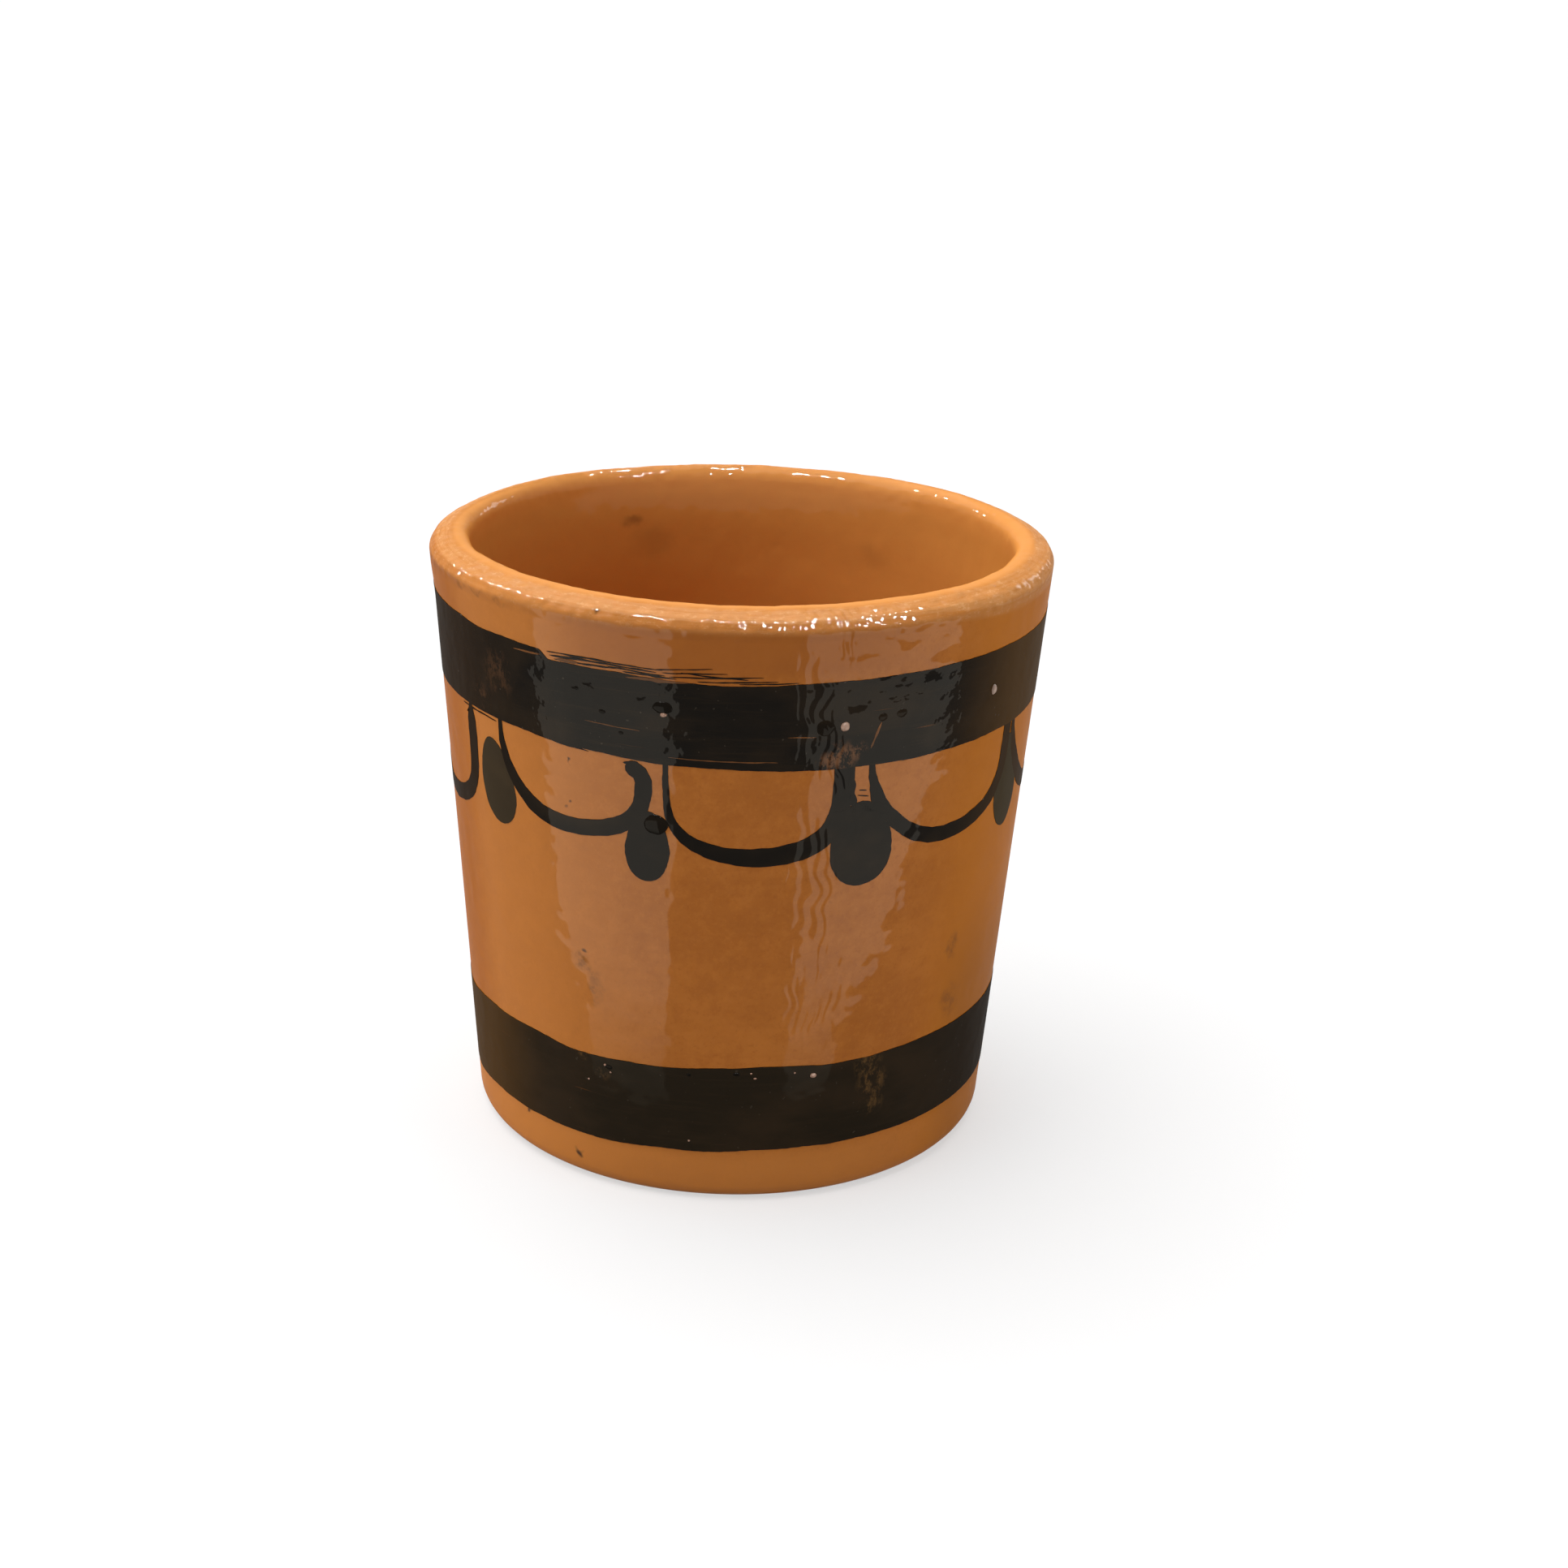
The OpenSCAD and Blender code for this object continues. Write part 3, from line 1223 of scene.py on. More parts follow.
    def _lip(self, sketch: Sketch, tone: NodeSocket) -> NodeSocket:
        """Colour the streaked, grainy lip with a painted highlight and paint light on its inner rounding.

        Args:
            sketch: Material in the making.
            tone: Colour of the clay so far.

        Returns:
            The colour socket.
        """
        z = sketch.part("Z")
        turn = sketch.turn()
        lines = sketch.grain(sketch.turned(0.06), 1900.0, 3.0, 0.7)
        sugar = sketch.grain(sketch.turned(0.6), 1200.0, 3.0, 0.8)
        lower = sketch.product(
            sketch.step_deg(turn, *self.lip_right),
            sketch.step_deg(turn, *self.lip_back, 0.0, self.lip_drop),
        )
        raised = sketch.math("ADD", z, lower)
        inner = sketch.step_mm(sketch.depth(), *self.inner_edge)
        on_lip = sketch.math(
            "ADD",
            sketch.step_mm(raised, *self.lip_low, 0.0, 0.5),
            sketch.step_mm(raised, *self.lip_high, 0.0, 0.5),
        )
        on_lip = sketch.product(on_lip, sketch.step(inner, 0.0, 1.0, 1.0, 0.0))
        # The pale lip colour is thin glaze with a painted highlight.
        streaks = sketch.product(on_lip, sketch.step(lines, 0.36, 0.56, 0.65, 1.0))
        tone = sketch.blend(streaks, tone, self.lip)
        # Painted light on the inner rounding of the lip.
        hem = sketch.product(inner, sketch.step_mm(z, *self.hem))
        tone = sketch.blend(hem, tone, self.inner_lip_light)
        grains = sketch.product(on_lip, sketch.step(sugar, 0.52, 0.68, 0.0, 0.7))
        tone = sketch.blend(grains, tone, self.sugar)
        gaps = sketch.product(on_lip, sketch.step(sugar, 0.44, 0.3, 0.0, 0.6))
        return sketch.blend(gaps, tone, self.pale)


@dataclass(frozen=True)
class SlipFinish:
    """Brown-black slip, brushed on under the glaze.

    Attributes:
        paint: Paint that this is the finish of.
        clay: Finish that shows where the slip is thin.
        thick: Colour where the slip is thick.
        thin: Colour where the slip is thin.
        left: Colour on the left side, partly thinner slip and partly painted light and reflection.
        right: Colour on the right side, partly thinner slip and partly painted light and reflection.
        speck: Colour of the small specks.
        scrape: Colour where the slip is scraped thin.
        bare: How much clay shows in the brush lines, 0 to 1.
        coat: Strength of the glaze's reflection.
        coat_roughness: Roughness of the glaze.
        lumps: Height of the lumps that the slip leaves in the glaze.
        side_span: Angles in degrees where the sides start and are full.
        back_span: Angles in degrees where the sides end and are full, towards the back.
        worn: Places where the slip is scraped thin.
    """

    paint: Paint
    clay: ClayFinish
    thick: Colour = (0.008, 0.0055, 0.003, 1.0)
    thin: Colour = (0.024, 0.014, 0.006, 1.0)
    # Side colours: partly thinner slip, partly painted light and reflection.
    left: Colour = (0.026, 0.012, 0.0025, 1.0)
    right: Colour = (0.05, 0.024, 0.006, 1.0)
    speck: Colour = (0.09, 0.07, 0.05, 1.0)
    scrape: Colour = (0.26, 0.11, 0.045, 1.0)
    bare: float = 0.5
    coat: float = 0.062
    coat_roughness: float = 0.04
    lumps: float = 0.0
    side_span: Span = (38.0, 64.0)
    back_span: Span = (125.0, 90.0)
    worn: tuple[Smudge, ...] = ()

    def material(self) -> Material:
        """Build the brushed slip.

        Returns:
            The finished material.
        """
        sketch = Sketch(self.paint.value)
        cloud = sketch.grain(sketch.stretched(2.0), 60.0, 3.0, 0.55)
        colour = sketch.blend(sketch.step(cloud, 0.42, 0.72), self.thick, self.thin)
        hairs = sketch.grain(sketch.turned(0.05), 1300.0, 3.0, 0.7)
        colour = sketch.blend(sketch.step(hairs, 0.5, 0.72, 0.0, self.bare), colour, self.thin)
        turn = sketch.turn()
        # Browner sides: partly thinner slip, partly painted light and reflection.
        for side, tone in ((-1.0, self.left), (1.0, self.right)):
            off = sketch.product(turn, side)
            rise = sketch.step_deg(off, *self.side_span)
            fall = sketch.step_deg(off, *self.back_span)
            colour = sketch.blend(sketch.product(rise, fall), colour, tone)
        lines = sketch.grain(sketch.stretched(30.0), 55.0, 2.0, 0.6)
        patch = sketch.grain(sketch.place, 95.0, 1.0)
        missed = sketch.product(
            sketch.step(lines, 0.68, 0.78), sketch.step(patch, 0.5, 0.68, 0.0, self.bare)
        )
        colour = sketch.blend(missed, colour, self.clay.middle)
        specks = sketch.step(sketch.grain(sketch.place, 1500.0, 1.0), 0.74, 0.8, 0.0, self.bare)
        colour = sketch.blend(specks, colour, self.speck)
        scraped = sketch.step(sketch.grain(sketch.stretched(0.6), 700.0, 4.0, 0.8), 0.45, 0.62)
        for mark in self.worn:
            share = sketch.product(mark.share(sketch, sketch.place, 0.2), scraped)
            colour = sketch.blend(share, colour, self.scrape)
        lumps = Layer(self.lumps, 480.0, 2.0)
        relief = sketch.bump(lumps.added(sketch, self.clay.relief.height(sketch), sketch.place))
        return sketch.surface(
            Base_Color=colour, Roughness=0.45, IOR=1.5, Specular_IOR_Level=0.0, Normal=relief,
            Coat_Weight=self.coat, Coat_Roughness=self.coat_roughness, Coat_IOR=1.75, Coat_Normal=relief,
        )


def hand_in(piece: Object, nodes: Sequence[str] = ()) -> None:
    """Fix a finished piece to the cup and report it.

    Args:
        piece: The finished piece.
        nodes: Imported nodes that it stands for.
    """
    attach(piece, "root")
    if nodes:
        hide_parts(*nodes)
    stands_for = ", ".join(nodes) or "itself"
    LOG.info("%s: %d faces, stands for %s", piece.name, len(piece.data.polygons), stands_for)


@dataclass
class ThrownBody:
    """The clay body: a pot thrown on the wheel, with a slanting lip and a turned foot.

    Attributes:
        wall: Outer wall.
        finish: Clay and glaze.
        edge: Height of the inner edge of the lip before it is rounded.
        rim_wall: Thickness of the wall at the lip.
        lip_fall: How far the top of the lip falls towards the outside.
        foot_wall: Thickness of the wall at the floor.
        floor: Thickness of the floor.
        lip_outer: Width of the slanting face along the outside of the lip.
        arris: How far its two edges are rounded.
        lip_inner: Radius of the inner rounding of the lip.
        heel: Radius of the rounding at the table.
        well: Radius between the inner wall and the floor.
        foot_inner: Radius of the inner edge of the foot ring.
        hollow: Depth of the turned hollow under the foot.
        hollow_slope: Width of the slope round the hollow.
        columns: Number of faces round the body.
        rows: Number of cuts up each wall.
        row_low: Height that the long edges of a wall start below.
        row_high: Height that they end above.
        lip_ripples: Size in millimetres, waves and seed of the ripples of the mouth.
        lip_waves: Size in millimetres, waves and seed of the waves of the lip's height.
        lip_grain: Size and length in millimetres of the unevenness of the lip.
        lip_reach: How far below the top the lip starts to be uneven.
        lip_over: Height over which it gets as uneven as it is.
        flare: How much further out the mouth stands behind than in front, in millimetres.
        pinch: How far it stands in at the front, in millimetres.
        flare_from: Height where the mouth starts to flare.
        flare_over: Height over which it does so.
        tilt: Slope of the lip along X and Y.
        rings: Height of the throwing rings inside.
        ring_pitch: Their distance, for each radian of the wave.
    """

    wall: Wall
    finish: ClayFinish
    edge: float = 89.66 * MM
    rim_wall: float = 5.3 * MM
    lip_fall: float = 2.59 * MM
    foot_wall: float = 6.0 * MM
    floor: float = 6.5 * MM
    lip_outer: float = 0.8 * MM
    arris: float = 0.3 * MM
    lip_inner: float = 2.3 * MM
    heel: float = 2.6 * MM
    well: float = 7.0 * MM
    foot_inner: float = 27.0 * MM
    hollow: float = 1.0 * MM
    hollow_slope: float = 2.6 * MM
    columns: int = 360
    rows: int = 44
    row_low: float = 20.0 * MM
    row_high: float = 75.0 * MM
    lip_ripples: tuple[tuple[float, float, float], ...] = ((0.14, 26.0, 8.0), (0.08, 60.0, 2.0))
    lip_waves: tuple[tuple[float, float, float], ...] = ((0.13, 14.0, 5.0), (0.07, 45.0, 11.0))
    lip_grain: tuple[Span, ...] = ((0.05, 1.7), (0.03, 0.8))
    lip_reach: float = 6.0 * MM
    lip_over: float = 5.0 * MM
    flare: float = 2.0
    pinch: float = 1.2
    flare_from: float = 82.5 * MM
    flare_over: float = 6.0 * MM
    tilt: Span = (0.0025, -0.0056)
    rings: float = 0.035 * MM
    ring_pitch: float = 1.45 * MM

    def build(self) -> Object:
        """Throw, turn and dress the body.

        Returns:
            The finished piece.
        """
        shoulder = self.edge - self.lip_fall
        foot_r = self.wall.foot_radius
        rim_r = self.wall.true_radius(shoulder)
        mouth_r = self.wall.true_radius(self.edge) - self.rim_wall
        floor_r = self.wall.true_radius(self.floor) - self.foot_wall
        bench = Bench.cylinder("thrown_body", foot_r, 0.0, shoulder, self.columns, True)
        bench.faces(lambda centre, normal: normal.z > 0.9)
        self._scale_ring(rim_r / foot_r, shoulder)
        bpy.ops.mesh.inset(thickness=rim_r - mouth_r)
        bpy.ops.transform.translate(value=(0.0, 0.0, self.lip_fall))
        bpy.ops.mesh.extrude_region_move(
            TRANSFORM_OT_translate={"value": (0.0, 0.0, self.floor - self.edge)}
        )
        self._scale_ring(floor_r / mouth_r, self.floor)
        self._close_disc(floor_r, rings=7)
        bench.faces(lambda centre, normal: normal.z < -0.9)
        bpy.ops.mesh.inset(thickness=foot_r - self.foot_inner)
        bpy.ops.mesh.inset(thickness=self.hollow_slope, depth=-self.hollow)
        self._close_disc(self.foot_inner - self.hollow_slope, rings=4)
        outward = math.atan(self.wall.slope)
        inward = math.atan((mouth_r - floor_r) / (self.edge - self.floor))
        fall = math.atan(self.lip_fall / (rim_r - mouth_r))
        bench.round_ring(mouth_r, self.edge, self._setback(self.lip_inner, inward - fall), steps=14)
        self._slant_lip(bench, rim_r, shoulder, outward, fall)
        bench.round_ring(foot_r, 0.0, self._setback(self.heel, outward), steps=8)
        bench.round_ring(floor_r, self.floor, self._setback(self.well, inward), steps=12)
        between = self.wall.true_radius(self.wall.height / 2.0) - self.rim_wall / 2.0
        bench.cut_rows(self.row_low, self.row_high, self.rows, between)
        bench.cut_rows(self.row_low, self.row_high, self.rows)
        bench.clean()
        bench.move(self._by_hand)
        bench.smooth(60.0)
        self._dress(bench.piece)
        hand_in(bench.piece, ["clay_body"])
        return bench.piece

    def _slant_lip(self, bench: Bench, radius: float, z: float, outward: float, fall: float) -> None:
        """Cut the slanting face along the outside of the lip and cut its top into rings.

        Args:
            bench: Bench with the body.
            radius: Radius of the outer edge of the lip.
            z: Height of that edge.
            outward: Angle of the outer wall off the upright.
            fall: Angle of the top of the lip off the level.
        """
        width = self.lip_outer
        bench.round_ring(radius, z, width, steps=1)
        for lean_r, lean_z in (
            (-math.sin(outward), -math.cos(outward)),
            (-math.cos(fall), math.sin(fall)),
        ):
            bench.round_ring(radius + width * lean_r, z + width * lean_z, self.arris, steps=3)
        top = 86.0 * MM
        wide = 0.5 * MM
        bench.edges(
            lambda a, b: min(a.z, b.z) > top and abs(a.xy.length - b.xy.length) > wide
        )
        bpy.ops.mesh.subdivide(number_cuts=4)

    def _scale_ring(self, share: float, z: float) -> None:
        """Scale the selected ring about the axis."""
        bpy.ops.transform.resize(value=(share, share, 1.0), center_override=(0.0, 0.0, z))

    def _close_disc(self, radius: float, rings: int) -> None:
        """Fill the selected disc with rings and a closed middle.

        Args:
            radius: Radius of the disc.
            rings: Number of rings.
        """
        for _ in range(rings):
            bpy.ops.mesh.inset(thickness=radius / (rings + 1.0))
        bpy.ops.mesh.poke()

    def _setback(self, radius: float, lean: float) -> float:
        """Give the distance from a corner to where a rounding of a radius starts."""
        return radius / math.tan(math.pi / 4.0 + lean / 2.0)

    def _by_hand(self, place: Vector) -> Vector:
        """Give a point of the true form its place on the hand-made one.

        Args:
            place: Point on the true form.

        Returns:
            The moved point.
        """
        angle = angle_of(place)
        radius = place.xy.length
        outer = self.wall.true_radius(place.z)
        held = ease(radius / (0.75 * outer))
        moved = radius + self.wall.wobble(angle, place.z) * held
        inner_share = ease((outer - radius) / self.rim_wall)
        lip_share = ease((place.z - self.wall.height + self.lip_reach) / self.lip_over)
        rippled = sum(size * ripple(angle, waves, seed) for size, waves, seed in self.lip_ripples)
        moved += inner_share * lip_share * MM * rippled
        flare = self.flare * (0.5 - 0.5 * math.cos(angle)) ** 1.5 - self.pinch
        moved += inner_share * MM * flare * ease((place.z - self.flare_from) / self.flare_over)
        rise = sum(size * ripple(angle, waves, seed) for size, waves, seed in self.lip_waves)
        rise += sum(size * noise.noise(place / (length * MM)) for size, length in self.lip_grain)
        lift = lip_share * (rise * MM + self.tilt[0] * place.x + self.tilt[1] * place.y)
        if radius < outer - 3.0 * MM and place.z > self.floor + 6.0 * MM:
            rings = math.sin(place.z / self.ring_pitch + 2.0 * math.sin(angle))
            moved += self.rings * rings * (1.0 - lip_share)
        return around(angle, moved, place.z + lift)

    def _dress(self, piece: Object) -> None:
        """Glaze the body and leave the foot bare.

        Args:
            piece: The shaped body.
        """
        piece.data.materials.append(self.finish.material())
        piece.data.materials.append(self.finish.bare())
        under = self.hollow + 0.1 * MM
        for face in piece.data.polygons:
            face.material_index = 1 if face.center.z < under and face.normal.z < -0.5 else 0


@dataclass(frozen=True)
class Sliver:
    """A thin brush line on the wall.

    Attributes:
        start: Angle of its first end in degrees.
        end: Angle of its second end in degrees.
        start_z: Height of its first end in millimetres.
        end_z: Height of its second end in millimetres.
        width: Greatest width in millimetres.
    """

    start: float
    end: float
    start_z: float
    end_z: float
    width: float

    def build(self, name: str, wall: Wall, proud: float) -> Bench:
        """Lay the line on the wall.

        Args:
            name: Name of the piece.
            wall: Wall that carries it.
            proud: How far it stands off the clay.

        Returns:
            The bench with the open skin of the line.
        """
        turn = self.end - self.start
        rise = self.end_z - self.start_z
        length = math.hypot(turn * MM_PER_DEGREE, rise)
        upright = abs(turn) * MM_PER_DEGREE < abs(rise)
        least_half = 0.012
        bench = Bench.strip(name, max(8, int(length / 0.35)), 2)

        def laid(place: Vector) -> Vector:
            """Give a point of the flat strip its place on the wall.

            Args:
                place: Point on the strip.

            Returns:
                The moved point.
            """
            share = 0.5 + 0.5 * place.x
            body = math.sqrt(max(0.0, 1.0 - place.x * place.x))
            shake = noise.noise(Vector((share * length * 0.8, self.start, self.start_z)))
            half = 0.5 * self.width * body * (0.75 + 0.6 * shake) + least_half
            z = self.start_z + rise * share
            z += 0.1 * noise.noise(Vector((share * length * 0.35, self.end, self.width)))
            angle = math.radians(self.start + turn * share)
            if upright:
                angle += half * place.y * MM / wall.radius(angle, z * MM)
            else:
                z += half * place.y
            return wall.on_skin(angle, z * MM, proud)

        bench.move(laid)
        return bench


@dataclass(frozen=True)
class Bead:
    """A small blob under the glaze, pressed from a ball.

    Attributes:
        degrees: Angle round the cup.
        z: Height in millimetres.
        width: Width in millimetres.
        tall: Height of the blob in millimetres.
        out: How far it stands off the wall, in millimetres.
    """

    degrees: float
    z: float
    width: float
    tall: float
    out: float

    def build(self, name: str, wall: Wall) -> Bench:
        """Press the blob onto the wall.

        Args:
            name: Name of the piece.
            wall: Wall that carries it.

        Returns:
            The bench with the closed blob.
        """
        bench = Bench.ball(name)
        angle = math.radians(self.degrees)
        radius = wall.radius(angle, self.z * MM)

        def pressed(place: Vector) -> Vector:
            """Give a point of the ball its place on the wall.

            Args:
                place: Point on the ball.

            Returns:
                The moved point.
            """
            lump = 1.0 + 0.16 * noise.noise(place * 1.3 + Vector((self.degrees, self.z, 0.0)))
            turn = angle + 0.5 * self.width * MM * place.x * lump / radius
            z = (self.z + 0.5 * self.tall * place.y * lump) * MM
            return wall.on_skin(turn, z, self.out * MM * place.z)

        bench.move(pressed)
        return bench


@dataclass(frozen=True)
class BrushEdge:
    """One edge of a painted band.

    Attributes:
        wander: Angles in degrees and how far the edge stands above its level there, in millimetres.
        seed: Which curve of small raggedness the edge has.
        rag: Strength of the raggedness in millimetres.
    """

    wander: tuple[Span, ...]
    seed: float
    rag: float = 0.07

    def height(self, angle: float, level: float) -> float:
        """Give the height of the edge at an angle.

        Args:
            angle: Angle round the cup.
            level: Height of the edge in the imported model.

        Returns:
            The height above the table.
        """
        degrees = math.degrees(angle)
        stops = [*self.wander, (self.wander[0][0] + 360.0, self.wander[0][1])]
        if degrees < stops[0][0]:
            degrees += 360.0
        offset = stops[-1][1]
        for (low, first), (high, second) in zip(stops, stops[1:]):
            if low <= degrees <= high:
                offset = first + (second - first) * ease((degrees - low) / (high - low))
        rag = self.rag * (ripple(angle, 60.0, self.seed) + 0.5 * ripple(angle, 260.0, self.seed + 4.0))
        return level + (offset + rag) * MM


@dataclass
class BrushBand:
    """A band that was brushed on while the wheel turned.

    Attributes:
        node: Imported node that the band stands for.
        wall: Wall that carries it.
        finish: Slip and glaze.
        low: Lower edge.
        high: Upper edge.
        streaks: Lines that the drying brush left over the band.
        streak_proud: How far these stand off the clay.
        columns: Number of faces round the band.
        rows: Number of cuts up the band.
    """

    node: str
    wall: Wall
    finish: Material
    low: BrushEdge
    high: BrushEdge
    streaks: Sequence[Sliver] = ()
    streak_proud: float = 0.07 * MM
    columns: int = 900
    rows: int = 11

    def build(self) -> Object:
        """Paint the band onto the wall.

        Returns:
            The finished piece.
        """
        low, high = (corner.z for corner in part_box(self.node))
        radius = self.wall.true_radius(low)
        bench = Bench.cylinder(f"brushed_{self.node}", radius, low, high, self.columns, False)
        bench.cut_rows(low + MM, high - MM, self.rows)
        bench.clean()
        bench.move(lambda place: self._laid(place, low, high))
        bench.join([
            line.build(f"{self.node}_streak_{number}", self.wall, self.streak_proud)
            for number, line in enumerate(self.streaks, 1)
        ])
        bench.thicken(self.wall.slip + SUNK)
        bench.smooth(40.0)
        bench.dress(self.finish)
        hand_in(bench.piece, [self.node])
        return bench.piece

    def _laid(self, place: Vector, low: float, high: float) -> Vector:
        """Give a point of the true ring its place on the wall.

        Args:
            place: Point on the ring.
            low: Height of the lower end of the ring.
            high: Height of the upper end of the ring.

        Returns:
            The moved point.
        """
        angle = angle_of(place)
        spread = 0.5 - 0.5 * math.cos(math.pi * (place.z - low) / (high - low))
        foot = self.low.height(angle, low)
        z = foot + (self.high.height(angle, high) - foot) * spread
        return self.wall.on_skin(angle, z, 0.5 * self.wall.slip)


@dataclass
class BrushStroke:
    """One scallop or drop, laid on with a loaded brush.

    Attributes:
        node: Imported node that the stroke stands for.
        wall: Wall that carries it.
        finish: Slip and glaze.
        band_foot: Height of the lower edge of the upper band.
        free_from: Angle in degrees past which the stroke ends short of the band.
        dabs: Short brush marks that square or spread the stroke.
        shake: How far the outline wanders.
        pitch: Distance between the cuts.
        reach: How far the ends of the stroke reach up under the band.
        reach_over: Height below the band over which they are drawn up.
    """

    node: str
    wall: Wall
    finish: Material
    band_foot: float
    free_from: float = 360.0
    dabs: Sequence[Sliver] = ()
    shake: float = 0.09 * MM
    pitch: float = 0.9 * MM
    reach: float = 1.4 * MM
    reach_over: float = 0.6 * MM

    def build(self) -> Object:
        """Lay the stroke on the wall.

        Returns:
            The finished piece.
        """
        bench = Bench.copy_of(self.node, f"brushed_{self.node}")
        bench.faces(
            lambda centre, normal: normal.x * centre.x + normal.y * centre.y < 0.5 * centre.xy.length
        )
        bpy.ops.mesh.delete(type="FACE")
        self._cut(bench)
        bench.close()
        self._lay(bench)
        bench.join([
            dab.build(f"{self.node}_dab_{number}", self.wall, 0.4 * self.wall.slip)
            for number, dab in enumerate(self.dabs, 1)
        ])
        bench.thicken(self.wall.slip + SUNK)
        bench.shade_as(self.wall)
        bench.dress(self.finish)
        hand_in(bench.piece, [self.node])
        return bench.piece

    def _cut(self, bench: Bench) -> None:
        """Cut the stroke into small faces along upright and level planes.

        Args:
            bench: Bench with the stroke, open for editing.
        """
        low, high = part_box(self.node)
        middle = angle_of((low + high) / 2.0)
        mesh = bmesh.from_edit_mesh(bench.piece.data)
        turns = [math.remainder(angle_of(point.co) - middle, math.tau) for point in mesh.verts]
        first, last = min(turns), max(turns)
        columns = max(4, int((last - first) * PAINT_RADIUS / self.pitch))
        for column in range(1, columns):
            angle = middle + first + (last - first) * column / columns
            bench.slice(ZERO, (math.cos(angle), math.sin(angle), 0.0))
        rows = max(4, int((high.z - low.z) / self.pitch))
        for row in range(1, rows):
            bench.slice((0.0, 0.0, low.z + (high.z - low.z) * row / rows), (0.0, 0.0, 1.0))

    def _lay(self, bench: Bench) -> None:
        """Lay the skin flat on the hand-made wall with an uneven outline.

        Args:
            bench: Bench with the cut stroke.
        """
        seat_radius = 42.0
        elsewhere = Vector((31.0, 7.0, 2.0))
        mesh = bmesh.new()
        mesh.from_mesh(bench.piece.data)
        bmesh.ops.remove_doubles(mesh, verts=mesh.verts, dist=0.004 * MM)
        for point in mesh.verts:
            angle = angle_of(point.co)
            z = point.co.z
            seat = Vector((angle * seat_radius, z / MM, 0.0))
            along = noise.noise(seat * 0.45) + 0.5 * noise.noise(seat * 1.3)
            up = noise.noise(seat * 0.45 + elsewhere)
            angle += self.shake * along * 1.3 / self.wall.radius(angle, z)
            z += self.shake * up * 1.3
            if math.degrees(angle) < self.free_from:
                z += self.reach * ease((point.co.z - self.band_foot) / self.reach_over + 1.0)
            point.co = self.wall.on_skin(angle, z, 0.35 * self.wall.slip)
        mesh.to_mesh(bench.piece.data)
        mesh.free()


